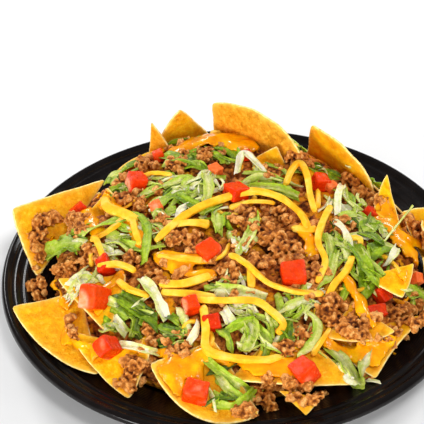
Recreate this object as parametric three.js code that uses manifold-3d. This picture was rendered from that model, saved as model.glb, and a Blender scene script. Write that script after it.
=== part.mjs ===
// A plate of loaded nachos: a round black plate with a rolled lip, a ring of
// curved corn chips, and a heap of seasoned beef, melted cheese, shredded
// lettuce and shredded cheese with diced tomato on top.
//
// Millimetres, +Z up. The plate's foot is flat on z = 0 and the plate's axis
// is the Z axis. +Y is the tall side of the heap, -Y the low side.

import * as THREE from 'three';
import Module from 'manifold-3d';

const wasm = await Module();
wasm.setup();
const { Manifold, Mesh: SolidMesh } = wasm;

// ---------------------------------------------------------------- dimensions

const PLATE_R = 130;        // outer radius of the lip
const PLATE_H = 22.4;       // height of the lip
const WELL_R = 84;          // flat bottom of the plate
const WELL_Z = 3;           // upper face of the flat bottom
const PLATE_SIDES = 42;     // flats round the plate

const HEAP_RX = 110;        // half width of the heap where it meets the rim
const HEAP_RY = 100;        // half depth
const HEAP_BASE = 12;       // height of the heap's edge
const HEAP_RISE = 41;       // rise of the middle above that edge
const HEAP_LEAN = 0.1;      // extra rise for each millimetre towards +Y
const HEAP_POWER = 3.6;     // how square the dome's side is at the left and right
const BACK_SWELL = 3;       // and how much squarer it is at the back
const CORE_DROP = 2;        // the core lies this far under the toppings

const CHIP_T = 1.9;         // thickness of a corn chip
const CHIP_GRID = 4;        // rows of triangles over a large chip
const FOOT_R = 108;         // where the leaning chips stand on the rim
const FOOT_Z = 17;          // and how high their feet are
const CLEAR = 0.3;          // gap kept between separate pieces

const CHEESE_W = 4.6;       // width of a cheese shred
const CHEESE_T = 3.6;       // its thickness
const LETTUCE_T = 1.7;      // thickness of a lettuce shred
const CRUMB_R = 4.6;        // radius of a beef crumb
const STEP = 13;            // length of one section of a shred
const MOST_CHEESE = 19;     // the largest cheese shreds are solid
const MOST_LETTUCE = 28;    // the largest lettuce shreds are solid

// ------------------------------------------------------------------- helpers

const rad = (degrees) => degrees * Math.PI / 180;
const clamp = (v, lo, hi) => Math.min(hi, Math.max(lo, v));
const V = (x, y, z) => new THREE.Vector3(x, y, z);

// A repeatable stream of numbers between 0 and 1.
function stream(seed) {
  let s = seed >>> 0;
  return () => {
    s = (s + 0x6D2B79F5) >>> 0;
    let t = s;
    t = Math.imul(t ^ (t >>> 15), t | 1);
    t ^= t + Math.imul(t ^ (t >>> 7), t | 61);
    return ((t ^ (t >>> 14)) >>> 0) / 4294967296;
  };
}

// A closed solid from points and triangles that face outwards.
function solid(points, triangles) {
  const vertProperties = new Float32Array(points.length * 3);
  points.forEach((p, i) => vertProperties.set([p.x, p.y, p.z], i * 3));
  const made = new Manifold(new SolidMesh({
    numProp: 3, vertProperties, triVerts: new Uint32Array(triangles.flat()),
  }));
  return made;
}

// The largest of the separate pieces of a solid.
function largest(body) {
  const pieces = body.decompose();
  return pieces.reduce((a, b) => (b.volume() > a.volume() ? b : a));
}

// The outer skin of a solid's largest piece, with hollows sealed inside it
// filled and loose scraps dropped. Where two corners of the skin meet at one
// point, each is drawn in a little, so that no wall touches another.
function skin(body) {
  const DRAW = 0.03;
  let kept = largest(body.simplify(0.06));
  for (let turn = 0; turn < 8; turn++) {
    const m = kept.getMesh(), same = new Map(), groups = new Map();
    for (let k = 0; k < m.mergeFromVert.length; k++) same.set(m.mergeFromVert[k], m.mergeToVert[k]);
    const own = (i) => {
      let j = i;
      while (same.has(j) && same.get(j) !== j) j = same.get(j);
      return j;
    };
    const points = [], normals = [], seat = new Map();
    const at = (i) => {
      const j = own(i);
      if (!seat.has(j)) {
        seat.set(j, points.push(V(...m.vertProperties.slice(j * m.numProp, j * m.numProp + 3))) - 1);
        normals.push(V(0, 0, 0));
      }
      return seat.get(j);
    };
    const triangles = [];
    for (let k = 0; k < m.triVerts.length; k += 3) {
      const t = [at(m.triVerts[k]), at(m.triVerts[k + 1]), at(m.triVerts[k + 2])];
      triangles.push(t);
      const d = points[t[1]].clone().sub(points[t[0]]).cross(points[t[2]].clone().sub(points[t[0]]));
      t.forEach((i) => normals[i].add(d));
    }
    points.forEach((p, i) => {
      const key = [p.x, p.y, p.z].map((v) => Math.round(v / 0.004)).join();
      groups.set(key, [...(groups.get(key) ?? []), i]);
    });
    let met = 0;
    for (const group of groups.values()) {
      if (group.length < 2) continue;
      met += 1;
      group.forEach((i) => points[i].addScaledVector(normals[i].normalize(), -DRAW * (1 + turn * 0.5)));
    }
    kept = largest(solid(points, triangles));
    if (met === 0) return kept;
    kept = largest(kept.simplify(0.02));
  }
  return kept;
}

// Two boxes that come nearer than a gap.
function near(a, b, gap = 1) {
  const p = a.boundingBox(), q = b.boundingBox();
  return [0, 1, 2].every((i) => p.min[i] - gap < q.max[i] && q.min[i] - gap < p.max[i]);
}

// A solid as a named mesh with flat faces.
function meshOf(body, name, colour, roughness) {
  const m = body.getMesh();
  const geometry = new THREE.BufferGeometry();
  const at = new Float32Array((m.vertProperties.length / m.numProp) * 3);
  for (let i = 0; i < at.length / 3; i++) {
    for (let k = 0; k < 3; k++) at[i * 3 + k] = m.vertProperties[i * m.numProp + k];
  }
  geometry.setAttribute('position', new THREE.BufferAttribute(at, 3));
  geometry.setIndex(new THREE.BufferAttribute(new Uint32Array(m.triVerts), 1));
  geometry.computeVertexNormals();
  const mesh = new THREE.Mesh(geometry, new THREE.MeshStandardMaterial({
    color: colour, roughness, metalness: 0, flatShading: true,
  }));
  mesh.name = name;
  return mesh;
}

// ------------------------------------------------------- the heap's surface

// Height of the toppings over the point (x, y): a dome that is low and round
// at the front, and flat on top with a steep edge at the back.
function dome(x, y) {
  const r = Math.hypot(x / HEAP_RX, y / HEAP_RY);
  const s = r > 1e-6 ? y / HEAP_RY / r : 0;
  const power = HEAP_POWER + (s < 0 ? 2 * s + s * s : BACK_SWELL * s ** 6);
  const left = Math.max(0, 1 - Math.min(r, 1) ** power);
  return HEAP_BASE + (HEAP_RISE + HEAP_LEAN * y) * left ** 0.7;
}

// The dome's outward direction, with steep edges eased.
function domeNormal(x, y) {
  const e = 3;
  const gx = clamp((dome(x + e, y) - dome(x - e, y)) / (2 * e), -1.2, 1.2);
  const gy = clamp((dome(x, y + e) - dome(x, y - e)) / (2 * e), -1.2, 1.2);
  return V(-gx, -gy, 1).normalize();
}

// Height of the plate's upper face at radius r.
function plateTop(r) {
  if (r < WELL_R) return WELL_Z;
  if (r < 98) return WELL_Z + 8 * THREE.MathUtils.smoothstep(r, WELL_R, 98);
  return 11 + (r - 98) * 0.38;
}

// -------------------------------------------------------------------- plate

// The plate is its profile (radius, height) turned about Z: up the inside,
// over three fine rings and the rolled lip, and back along the underside.
function makePlate() {
  const profile = [
    [0, WELL_Z], [WELL_R, WELL_Z], [88.5, 4.6], [93, 8.2], [98, 11],
    [115, 17.6], [116.4, 18.7], [118, 18.3], [120.2, 18.9], [121.6, 20.0], [123.2, 19.6],
    [125.2, PLATE_H - 0.6], [127.4, PLATE_H], [129.4, PLATE_H - 1.1], [PLATE_R, PLATE_H - 3.4],
    [128.2, 19.2], [124.6, 17.8], [98, 9], [88, 1.4], [83, 0], [0, 0],
  ];
  const points = [V(0, 0, WELL_Z)], triangles = [];
  const rings = profile.slice(1, -1);
  for (const [r, z] of rings) {
    for (let i = 0; i < PLATE_SIDES; i++) {
      const a = rad((i * 360) / PLATE_SIDES);
      points.push(V(r * Math.cos(a), r * Math.sin(a), z));
    }
  }
  points.push(V(0, 0, 0));
  const at = (k, i) => 1 + k * PLATE_SIDES + (i % PLATE_SIDES);
  for (let i = 0; i < PLATE_SIDES; i++) {
    triangles.push([0, at(0, i), at(0, i + 1)]);
    for (let k = 0; k < rings.length - 1; k++) {
      triangles.push([at(k, i), at(k + 1, i), at(k + 1, i + 1)]);
      triangles.push([at(k, i), at(k + 1, i + 1), at(k, i + 1)]);
    }
    triangles.push([at(rings.length - 1, i), points.length - 1, at(rings.length - 1, i + 1)]);
  }
  return solid(points, triangles);
}

// -------------------------------------------------------------------- chips

// A chip is a sector of a thin corn tortilla: corner a, the far corners b and
// c, a rounded edge between b and c that swells by `bulge`, a bend along its
// length and a cup across it. Corners are [x, y, z] in millimetres.
const CHIPS = [
  { a: [-110, -3, 18], b: [-125, 27, 46], c: [-71, 55, 44], bulge: 0, bend: 4, cup: -1 },
  { a: [-84, -29, 34], b: [-122, -34, 27], c: [-72, -82, 19], bulge: 8, bend: 2, cup: 2 },
  { a: [-45, -78, 34], b: [-90, -58, 31], c: [-57, -98, 17], bulge: 3, bend: 2, cup: 2 },
  { a: [-58, -30, 45], b: [-97, -24, 37], c: [-68, -67, 35], bulge: 1, bend: 2, cup: 3 },
  { a: [-13, -74, 37], b: [-48, -85, 32], c: [10, -113, 20], bulge: 17, bend: 3, cup: 1 },
  { a: [32, -114, 19], b: [18, -101, 25], c: [39, -108, 23], bulge: 1, bend: -3, cup: 3 },
  { a: [26, -58, 35], b: [-7, -95, 28], c: [59, -99, 25], bulge: 3, bend: 0, cup: 2 },
  { a: [41, -67, 31], b: [69, -89, 18], c: [102, -51, 30], bulge: -3, bend: 3, cup: 2 },
  { a: [60, -48, 39], b: [44, -73, 35], c: [81, -71, 36], bulge: 3, bend: 2, cup: -3 },
  { a: [67, -38, 44], b: [86, -51, 39], c: [95, -24, 42], bulge: 1, bend: 1, cup: 1 },
  { a: [84, 22, 67], b: [75, 11, 46], c: [91, 11, 40], bulge: 2, bend: 3, cup: -2 },
  { a: [105, -2, 20], b: [115, 23, 44], c: [92, 17, 44], bulge: 0, bend: 4, cup: -2 },
  { a: [47, 92, 19], b: [80, 32, 42], c: [45, 62, 74], bulge: 13, bend: 3, cup: 2 },
  { a: [-2, 96, 19], b: [41, 47, 53], c: [-11, 85, 75], bulge: 21, bend: 4, cup: 2 },
  { a: [-29, 81, 73], b: [-51, 80, 31], c: [-1, 103, 22], bulge: 3, bend: -3, cup: 3 },
  { a: [-46, 80, 65], b: [-51, 80, 28], c: [-33, 74, 40], bulge: 1, bend: 2, cup: -2 },
  { a: [25, 51, 66], b: [7, 53, 52], c: [31, 46, 50], bulge: 2, bend: 2, cup: 3 },
  { a: [-70, 31, 56], b: [-86, 25, 40], c: [-57, 9, 46], bulge: 2, bend: 3, cup: -2 },
];

// Chips that lean against the side of the heap with two corners on the rim:
// azimuth, half width in degrees, radius and height of the upper corner, and
// how far the upper corner leans round.
const LEANING = [
  [38, 16, 93, 38, 5], [56, 13, 97, 38, -7], [86, 16, 99, 46, 8], [111, 12, 95, 44, -5],
  [150, 15, 97, 33, 6], [168, 11, 101, 24, -4], [8, 14, 101, 44, -5], [-14, 13, 101, 38, 6],
];
const polar = (azimuth, r, z) => [r * Math.cos(rad(azimuth)), r * Math.sin(rad(azimuth)), z];
LEANING.forEach(([azimuth, half, r, z, skew], i) => CHIPS.push({
  a: polar(azimuth + skew, r, z),
  b: polar(azimuth - half, FOOT_R + (i % 3), FOOT_Z + (i % 2) * 3),
  c: polar(azimuth + half, FOOT_R + 2 - (i % 3), FOOT_Z + ((i + 1) % 2) * 4),
  bulge: 5, bend: -2, cup: 2,
}));

// The middle surface of a chip as a grid of points, each row one longer.
function chipGrid(chip, n, grow) {
  const a = V(...chip.a), b = V(...chip.b), c = V(...chip.c);
  const centre = a.clone().add(b).add(c).divideScalar(3);
  const out = b.clone().add(c).multiplyScalar(0.5).sub(a).normalize();
  const face = b.clone().sub(a).cross(c.clone().sub(a)).normalize();
  if (face.z < 0) face.negate();
  const grid = [];
  for (let i = 0; i <= n; i++) {
    for (let j = 0; j <= i; j++) {
      const wa = 1 - i / n;
      const wb = i === 0 ? 0 : (i / n) * (1 - j / i);
      const wc = i === 0 ? 0 : (i / n) * (j / i);
      const p = a.clone().multiplyScalar(wa).addScaledVector(b, wb).addScaledVector(c, wc);
      p.addScaledVector(out, chip.bulge * 4 * wb * wc);
      const along = (1 - wa) * 2 - 1, across = wc - wb;
      const sag = chip.bend * (1 - along * along) + chip.cup * (across * across - (1 - wa) ** 2);
      p.addScaledVector(face, -sag);
      const away = p.clone().sub(centre);
      const edge = wa * wb * wc < 1e-9 ? grow : 0;
      if (edge) p.addScaledVector(away.normalize(), edge * 1.6);
      grid.push(p);
    }
  }
  return { grid, face };
}

// A chip's solid: both faces split into triangles alike, joined by its rim.
function makeChip(chip, grow = 0) {
  const small = V(...chip.a).distanceTo(V(...chip.b)) < 50;
  const n = small ? CHIP_GRID - 1 : CHIP_GRID;
  const { grid, face } = chipGrid(chip, n, grow);
  const at = (i, j) => (i * (i + 1)) / 2 + j;
  const count = grid.length;
  const half = CHIP_T / 2 + grow;
  const normals = grid.map(() => V(0, 0, 0));
  const upper = [];
  for (let i = 0; i < n; i++) {
    for (let j = 0; j <= i; j++) {
      upper.push([at(i, j), at(i + 1, j), at(i + 1, j + 1)]);
      if (j < i) upper.push([at(i, j), at(i + 1, j + 1), at(i, j + 1)]);
    }
  }
  const turn = (t) => grid[t[1]].clone().sub(grid[t[0]]).cross(grid[t[2]].clone().sub(grid[t[0]]));
  const flip = turn([at(0, 0), at(n, 0), at(n, n)]).dot(face) < 0;
  for (const t of upper) {
    const d = turn(t).multiplyScalar(flip ? -1 : 1);
    t.forEach((k) => normals[k].add(d));
  }
  normals.forEach((d) => d.normalize());
  const points = [
    ...grid.map((p, k) => p.clone().addScaledVector(normals[k], half)),
    ...grid.map((p, k) => p.clone().addScaledVector(normals[k], -half)),
  ];
  const rim = [];
  for (let i = 0; i < n; i++) rim.push(at(i, 0));
  for (let j = 0; j < n; j++) rim.push(at(n, j));
  for (let i = n; i > 0; i--) rim.push(at(i, i));
  const triangles = [];
  for (const [p, q, r] of upper) {
    triangles.push(flip ? [p, r, q] : [p, q, r]);
    triangles.push(flip ? [p + count, q + count, r + count] : [p + count, r + count, q + count]);
  }
  rim.forEach((p, k) => {
    const q = rim[(k + 1) % rim.length];
    if (flip) {
      triangles.push([p, q, q + count], [p, q + count, p + count]);
    } else {
      triangles.push([q, p, p + count], [q, p + count, q + count]);
    }
  });
  return solid(points, triangles);
}

// ----------------------------------------------------------------- tomatoes

// Diced tomato: [x, y, width, depth, height, turn, lean x, lean y, lift].
// Turn and leans in degrees, lift above the toppings in millimetres.
const TOMATOES = [
  [-54, 36, 9.5, 11, 9, 20, -10, 30, 3],
  [-42, 61, 6, 6, 6, 10, 0, 0, 2],
  [-43, 13, 7, 6, 5.5, 20, 10, -10, 1.5],
  [-10, 40, 6.5, 6.5, 5, 40, 0, 10, 1.5],
  [1, 20, 11, 11, 8, 35, -20, 10, 3],
  [8, 52, 5, 5, 4.5, 20, 0, 0, 1.5],
  [48, 31, 8.5, 8, 8, 15, 0, 15, 2],
  [54, 28, 5.5, 5, 5, 40, 10, 0, 1.5],
  [74, 11, 5.5, 6, 6, 30, 0, 20, 1.5],
  [-15, -23, 10.5, 10, 6.5, 38, 8, 4, 3],
  [29, -40, 12, 12, 10.5, 6, 0, 0, 4],
  [-70, -22, 7, 9, 8.5, 10, 0, -15, 1],
  [-75, -46, 11.5, 12, 15, -22, 12, -10, 10],
  [-68, -75, 9, 9, 12.5, 22, -6, 0, 16],
  [-25, -55, 8, 8, 9, 14, 0, 10, 2],
  [-14, -65, 9, 8, 6, 10, 0, 0, 1.5],
  [-23, -103, 12, 10, 11, -15, 14, 6, 15],
  [32, -94, 11, 10, 12, 42, 26, 16, 16],
  [76, -42, 7.5, 8, 6.5, 40, 5, 10, 2],
  [72, -53, 10, 7, 7, 18, 0, -12, 2.5],
  [-88, 33, 9, 6, 5, 20, 0, 0, 3],
  [96, -25, 5.5, 6, 7, 15, 0, 0, 3],
  // on the far side
  [-30, 93, 10, 10, 9, 30, 0, 0, 0],
  [14, 88, 11, 10, 9, 55, 0, 10, 0],
];

// A dice with swelling faces: eight corners and six face centres, each corner
// a little out of true.
function makeTomato(t, grow, seed) {
  const [x, y, w, d, h, turn, leanX, leanY, lift] = t;
  const random = stream(seed);
  const points = [], triangles = [];
  for (let k = 0; k < 8; k++) {
    const p = V(k & 1 ? 1 : -1, k & 2 ? 1 : -1, k & 4 ? 1 : -1).multiplyScalar(0.93);
    points.push(p.add(V(random() - 0.5, random() - 0.5, random() - 0.5).multiplyScalar(0.2)));
  }
  for (const f of [[0, 2, 3, 1], [4, 5, 7, 6], [0, 1, 5, 4], [2, 6, 7, 3], [0, 4, 6, 2], [1, 3, 7, 5]]) {
    const middle = f.reduce((sum, k) => sum.add(points[k]), V(0, 0, 0)).divideScalar(4);
    const top = points.push(middle.multiplyScalar(1.14)) - 1;
    f.forEach((k, i) => triangles.push([k, f[(i + 1) % 4], top]));
  }
  const up = domeNormal(x, y);
  const pose = new THREE.Quaternion().setFromUnitVectors(V(0, 0, 1), up)
    .multiply(new THREE.Quaternion().setFromEuler(new THREE.Euler(rad(leanX), rad(leanY), rad(turn))));
  const centre = V(x, y, dome(x, y) + lift);
  const placed = points.map((p) => p.clone()
    .multiply(V(w / 2 + grow, d / 2 + grow, h / 2 + grow)).applyQuaternion(pose).add(centre));
  // its base is cut flat just above the core it rests on
  const base = onHeap(x, y, CLEAR + 0.2 - CORE_DROP - grow);
  return solid(placed, triangles).trimByPlane([up.x, up.y, up.z], up.dot(base));
}

// ------------------------------------------------------------ loose toppings

// Cheese shreds: width factor, lift above the toppings, then the points (x, y)
// that the shred runs through.
const CHEESE = [
  [1.1, 4, [[-43, -13], [-30, 0], [-18, 9], [-4, 15], [8, 19], [20, 17], [30, 9], [36, 1], [39, -8]]],
  [0.8, 3, [[-3, 9], [8, 12], [22, 12]]],
  [1.3, 2, [[-33, -1], [-22, -2], [-14, -3]]],
  [0.9, 2, [[-42, -22], [-30, -26], [-18, -28]]],
  [1.1, 2, [[-41, -40], [-28, -42], [-14, -38]]],
  [0.9, 2, [[-40, -45], [-26, -48], [-12, -51]]],
  [0.9, 5, [[-73, -23], [-62, -26], [-53, -31]]],
  [0.9, 3, [[-63, -33], [-56, -41], [-46, -46]]],
  [0.8, 5, [[-76, -3], [-73, -8], [-70, -19]]],
  [0.9, 2, [[-78, -3], [-67, 0], [-58, 9]]],
  [0.9, 3, [[-56, 9], [-54, -3], [-51, -14]]],
  [1.4, 3, [[-71, 30], [-68, 17], [-60, 9], [-53, 3]]],
  [0.9, 4, [[-22, -52], [-8, -54], [8, -55], [16, -60], [22, -66], [19, -71]]],
  [1.1, 3, [[-18, -55], [-17, -67], [-17, -77], [-8, -81], [8, -83], [21, -81]]],
  [0.9, 4, [[-4, -25], [5, -33], [12, -42], [20, -47], [32, -49], [44, -48]]],
  [1.0, 2, [[7, -34], [7, -47]]],
  [0.9, 5, [[28, 25], [33, 39], [37, 42], [40, 30], [41, 16], [43, 4]]],
  [0.9, 4, [[52, 10], [46, -5], [43, -18], [46, -30], [41, -42]]],
  [0.9, 3, [[61, -23], [57, -33], [50, -42], [46, -49]]],
  [0.6, 5, [[46, -66], [36, -79]]],
  [0.8, 3, [[-56, 35], [-46, 40], [-34, 38]]],
  [0.7, 2, [[46, 24], [45, 9]]],
  [0.8, 2, [[56, -13], [65, -11], [66, -15]]],
  [1.0, 1, [[30, -6], [38, -8], [44, -6]]],
  // on the far side
  [0.9, 3, [[-10, 66], [6, 70], [20, 76]]],
  [0.9, 2, [[46, 66], [60, 58], [70, 44]]],
];

// Lettuce shreds: width, lift, then the points (x, y) each runs through.
const LETTUCE = [
  [6, 3, [[-50, -35], [-43, -46], [-37, -60]]],
  [9, 1, [[-64, -40], [-53, -51], [-42, -61]]],
  [5, 3, [[-54, 10], [-48, 0], [-47, -12], [-49, -26]]],
  [5, 2, [[-65, -52], [-58, -63]]],
  [6, 1, [[-70, -52], [-62, -60]]],
  [4, 1, [[-42, -62], [-35, -66], [-27, -68]]],
  [4, 2, [[-21, -66], [-27, -74]]],
  [4, 1, [[-62, -66], [-52, -70], [-42, -75]]],
  [15, 3, [[-103, 9], [-96, -1], [-86, -6]]],
  [6, 3, [[-84, 3], [-70, 5], [-57, 6]]],
  [9, 1, [[-70, -3], [-61, -9], [-54, -15]]],
  [8, 2, [[-39, 60], [-29, 50], [-20, 46]]],
  [7, 1, [[-12, 62], [-2, 58], [3, 51]]],
  [6, 3, [[-16, 39], [-14, 25], [-16, 11]]],
  [9, 2, [[-33, 22], [-24, 13], [-17, 9]]],
  [5, 2, [[-29, 25], [-38, 17], [-45, 7]]],
  [8, 1, [[-51, 24], [-38, 30], [-25, 35]]],
  [4, 3, [[2, 38], [5, 51], [9, 47], [17, 37]]],
  [6, 2, [[5, 29], [15, 33], [27, 30]]],
  [5, 3, [[8, 25], [22, 23], [35, 18]]],
  [6, 3, [[11, 4], [9, -9], [2, -23]]],
  [7, 2, [[-10, 6], [-9, -7]]],
  [5, 2, [[19, -60], [29, -55], [38, -51]]],
  [4, 3, [[35, -58], [40, -65], [36, -74], [29, -79]]],
  [6, 1, [[25, -63], [23, -74]]],
  [6, 2, [[-8, -59], [-4, -68]]],
  [6, 1, [[2, -59], [7, -69], [2, -79]]],
  [3, 2, [[9, -68], [13, -76], [25, -80]]],
  [5, 2, [[-20, -79], [-10, -87], [4, -95]]],
  [5, 1, [[-14, -98], [-3, -99], [8, -94]]],
  [4, 4, [[60, 31], [56, 18], [55, 4]]],
  [4, 3, [[53, 0], [58, -9], [60, -18]]],
  [7, 2, [[62, -14], [67, -29], [67, -46]]],
  [8, 2, [[70, -20], [75, -15], [82, -10]]],
  [4, 4, [[86, -9], [79, -24]]],
  [6, 2, [[52, -20], [48, -35], [40, -46]]],
  [5, 1, [[59, -37], [53, -50]]],
  [8, 2, [[75, 9], [73, 0], [66, -5]]],
  [5, 2, [[89, -36], [97, -31]]],
  [6, 3, [[46, -75], [55, -82], [63, -91]]],
  [5, 3, [[66, -69], [62, -76], [61, -83]]],
  [6, 1, [[-89, -26], [-82, -23], [-78, -28]]],
  [7, 1, [[-12, -46], [0, -50], [14, -53]]],
  [4, 1, [[20, -49], [22, -60]]],
  [5, 1, [[-68, 37], [-60, 33]]],
  [5, 1, [[41, 43], [49, 42], [56, 37]]],
  [3, 2, [[61, 30], [61, 17], [68, 11]]],
  [5, 1, [[-45, 2], [-38, -4], [-36, -12]]],
  // on the far side
  [7, 2, [[-44, 74], [-32, 70], [-22, 66]]],
  [6, 2, [[60, 66], [68, 56], [74, 40]]],
];

// Beef: x, y, radius of the clump, number of crumbs.
const BEEF = [
  [-60, 22, 9, 2], [-104, -9, 7, 1], [-88, -16, 8, 2], [-59, -21, 7, 1], [-28, -13, 8, 2],
  [-38, -33, 8, 2], [-7, -35, 8, 2], [-2, 0, 8, 2], [16, -13, 8, 2], [21, -25, 8, 2],
  [25, 2, 7, 1], [-51, -65, 6, 2], [-35, -73, 7, 2], [-57, -80, 7, 2],
  [8, -96, 8, 2], [28, -92, 6, 1], [69, 32, 8, 2], [72, 45, 6, 1], [33, 50, 8, 2],
  [22, 38, 6, 1], [-27, 57, 8, 2], [62, 1, 6, 2], [94, 22, 9, 2], [54, -59, 8, 2],
  [88, -48, 8, 2], [29, -76, 6, 1], [13, -75, 5, 1], [-37, 40, 5, 1], [-21, 41, 5, 1],
  [0, 84, 8, 2], [-62, 54, 8, 2],
];

// Melted cheese: x, y, half length, half width, turn in degrees, lift.
const SAUCE = [
  [-9, 68, 20, 9, 0, 3], [-80, 22, 10, 6, 50, 2], [-66, 24, 12, 7, 60, 3],
  [84, 20, 18, 8, 80, 4], [90, -6, 13, 8, 60, 3], [-38, -82, 19, 7, -20, 3],
  [10, -86, 20, 5, 3, 1], [60, -72, 19, 7, 15, 2], [60, -49, 9, 5, 70, 3],
  [-21, -34, 9, 7, 0, 2], [37, -16, 9, 5, 80, 3], [-92, -26, 10, 6, -60, 3],
  [-84, -54, 14, 5, -50, 2], [6, 80, 14, 8, 10, 2],
];

// A point on the toppings, raised along the outward direction.
function onHeap(x, y, lift) {
  return V(x, y, dome(x, y)).addScaledVector(domeNormal(x, y), lift);
}

// A strip that follows a smooth line over the heap, with a keel that reaches
// down to the core. A leaf strip is flat on top, a cheese shred is ridged.
// The ends are narrower, and a crinkle shifts every other section up and down.
function makeStrip(line, width, thick, lift, crinkle, seed) {
  const random = stream(seed);
  const curve = new THREE.CatmullRomCurve3(line.map(([x, y]) => V(x, y, 0)), false, 'centripetal');
  const length = curve.getLength();
  const n = clamp(Math.round(length / STEP), 1, 9);
  const points = [], triangles = [];
  for (let i = 0; i <= n; i++) {
    const t = i / n;
    const p = curve.getPointAt(t), q = curve.getTangentAt(t);
    const up = domeNormal(p.x, p.y);
    const rise = lift * (0.55 + 0.45 * Math.sin(Math.PI * t)) + (i % 2 ? crinkle : -crinkle) * random();
    const centre = onHeap(p.x, p.y, rise - thick / 2);
    const ahead = V(q.x, q.y, 0).addScaledVector(up, -V(q.x, q.y, 0).dot(up)).normalize();
    const side = ahead.clone().cross(up);
    const w = (width / 2) * (i === 0 || i === n ? 0.55 : 1);
    const keel = [0, -rise - CORE_DROP - 2];
    const section = crinkle
      ? [keel, [1, thick / 2 - 0.8 * (i % 2)], [-1, thick / 2 - 0.8 * ((i + 1) % 2)]]
      : [keel, [1, -thick * 0.3], [0, thick / 2], [-1, -thick * 0.3]];
    for (const [u, v] of section) {
      points.push(centre.clone().addScaledVector(side, u * w).addScaledVector(up, v));
    }
  }
  const m = crinkle ? 3 : 4;
  for (let i = 0; i < n; i++) {
    for (let k = 0; k < m; k++) {
      const a = i * m + k, b = i * m + ((k + 1) % m);
      triangles.push([a, b + m, b], [a, a + m, b + m]);
    }
  }
  const e = n * m;
  for (let k = 1; k < m - 1; k++) triangles.push([0, k, k + 1], [e, e + k + 1, e + k]);
  return solid(points, triangles);
}

// A crumb: a twenty-sided lump with its corners pushed in and out.
function makeCrumb(centre, size, random) {
  const ball = new THREE.IcosahedronGeometry(1, 0);
  const at = ball.getAttribute('position');
  const keys = new Map(), points = [], triangles = [];
  const pick = (i) => {
    const key = [at.getX(i), at.getY(i), at.getZ(i)].map((v) => v.toFixed(4)).join();
    if (!keys.has(key)) {
      keys.set(key, points.length);
      const s = size * (0.78 + 0.44 * random());
      points.push(V(at.getX(i) * s, at.getY(i) * s, at.getZ(i) * s * 0.85).add(centre));
    }
    return keys.get(key);
  };
  for (let i = 0; i < at.count; i += 3) triangles.push([pick(i), pick(i + 1), pick(i + 2)]);
  return solid(points, triangles);
}

// Melted cheese: a lens draped over the heap.
function makeSauce([x, y, long, short, turn, lift]) {
  const rings = [[1, -3], [0.7, 0.6]], sides = 9;
  const c = Math.cos(rad(turn)), s = Math.sin(rad(turn));
  const points = [], triangles = [];
  for (const [r, rise] of rings) {
    for (let i = 0; i < sides; i++) {
      const a = rad((i * 360) / sides);
      const wave = 1 + 0.12 * Math.sin(3 * a + x);
      const u = r * wave * long * Math.cos(a), v = r * wave * short * Math.sin(a);
      points.push(onHeap(x + u * c - v * s, y + u * s + v * c, rise + (r < 1 ? lift * (1.1 - r) : -1)));
    }
  }
  const top = points.push(onHeap(x, y, 1 + lift)) - 1;
  const bottom = points.push(onHeap(x, y, -7)) - 1;
  const at = (k, i) => k * sides + (i % sides);
  for (let i = 0; i < sides; i++) {
    triangles.push([at(0, i), at(0, i + 1), at(1, i + 1)], [at(0, i), at(1, i + 1), at(1, i)]);
    triangles.push([at(1, i), at(1, i + 1), top], [at(0, i + 1), at(0, i), bottom]);
  }
  return solid(points, triangles);
}

// The core: the heap under its toppings, with a short steep side that stands
// on the plate inside the ring of chips.
function makeCore(grow = 0) {
  const sides = 28, rings = [0.33, 0.6, 0.8, 0.92, 1];
  const edge = (a) => 0.92 - 0.035 * Math.sin(a);
  const points = [], triangles = [];
  const put = (r, i, z) => {
    const a = rad((i * 360) / sides);
    const x = r * edge(a) * HEAP_RX * Math.cos(a), y = r * edge(a) * HEAP_RY * Math.sin(a);
    const p = z === undefined ? V(x, y, dome(x, y) - CORE_DROP).addScaledVector(domeNormal(x, y), grow) : V(x, y, z(x, y));
    if (z !== undefined) p.multiply(V(1 + grow / 90, 1 + grow / 90, 1));
    points.push(p);
  };
  points.push(V(0, 0, dome(0, 0) - CORE_DROP + grow));
  for (const r of rings) for (let i = 0; i < sides; i++) put(r, i);
  const foot = (x, y) => plateTop(Math.hypot(x, y)) + CLEAR + 0.2;
  for (const r of [0.93, 0.8]) for (let i = 0; i < sides; i++) put(r, i, foot);
  points.push(V(0, 0, WELL_Z + CLEAR + 0.2));
  const at = (k, i) => 1 + k * sides + (i % sides);
  const all = rings.length + 2;
  for (let i = 0; i < sides; i++) {
    triangles.push([0, at(0, i), at(0, i + 1)]);
    for (let k = 0; k < all - 1; k++) {
      triangles.push([at(k, i), at(k + 1, i), at(k + 1, i + 1)], [at(k, i), at(k + 1, i + 1), at(k, i + 1)]);
    }
    triangles.push([at(all - 1, i), points.length - 1, at(all - 1, i + 1)]);
  }
  return solid(points, triangles);
}

// ------------------------------------------------------------------ assembly

const plate = makePlate();
const plateGuard = (() => {
  const guard = makePlate();
  return guard.translate([0, 0, CLEAR]).add(guard);
})();

// The core is whole, and what lies on it ends just above its surface.
const core = makeCore(), coreGuard = makeCore(CLEAR + 0.1);

// Tomatoes keep clear of one another: a later one gives way.
const tomatoes = [], tomatoGuards = [];
TOMATOES.forEach((t, i) => {
  let body = makeTomato(t, 0, 11 + i).subtract(coreGuard);
  for (const guard of tomatoGuards) if (near(body, guard)) body = body.subtract(guard);
  tomatoes.push(largest(body));
  tomatoGuards.push(makeTomato(t, CLEAR, 11 + i));
});

// Chips give way to the heap's core, the plate, the tomatoes and the chips
// before them.
const chips = [], chipGuards = [];
CHIPS.forEach((c) => {
  let body = makeChip(c).subtract(plateGuard).subtract(coreGuard);
  for (const guard of [...tomatoGuards, ...chipGuards]) if (near(body, guard)) body = body.subtract(guard);
  chips.push(largest(body));
  chipGuards.push(makeChip(c, CLEAR));
});

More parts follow.
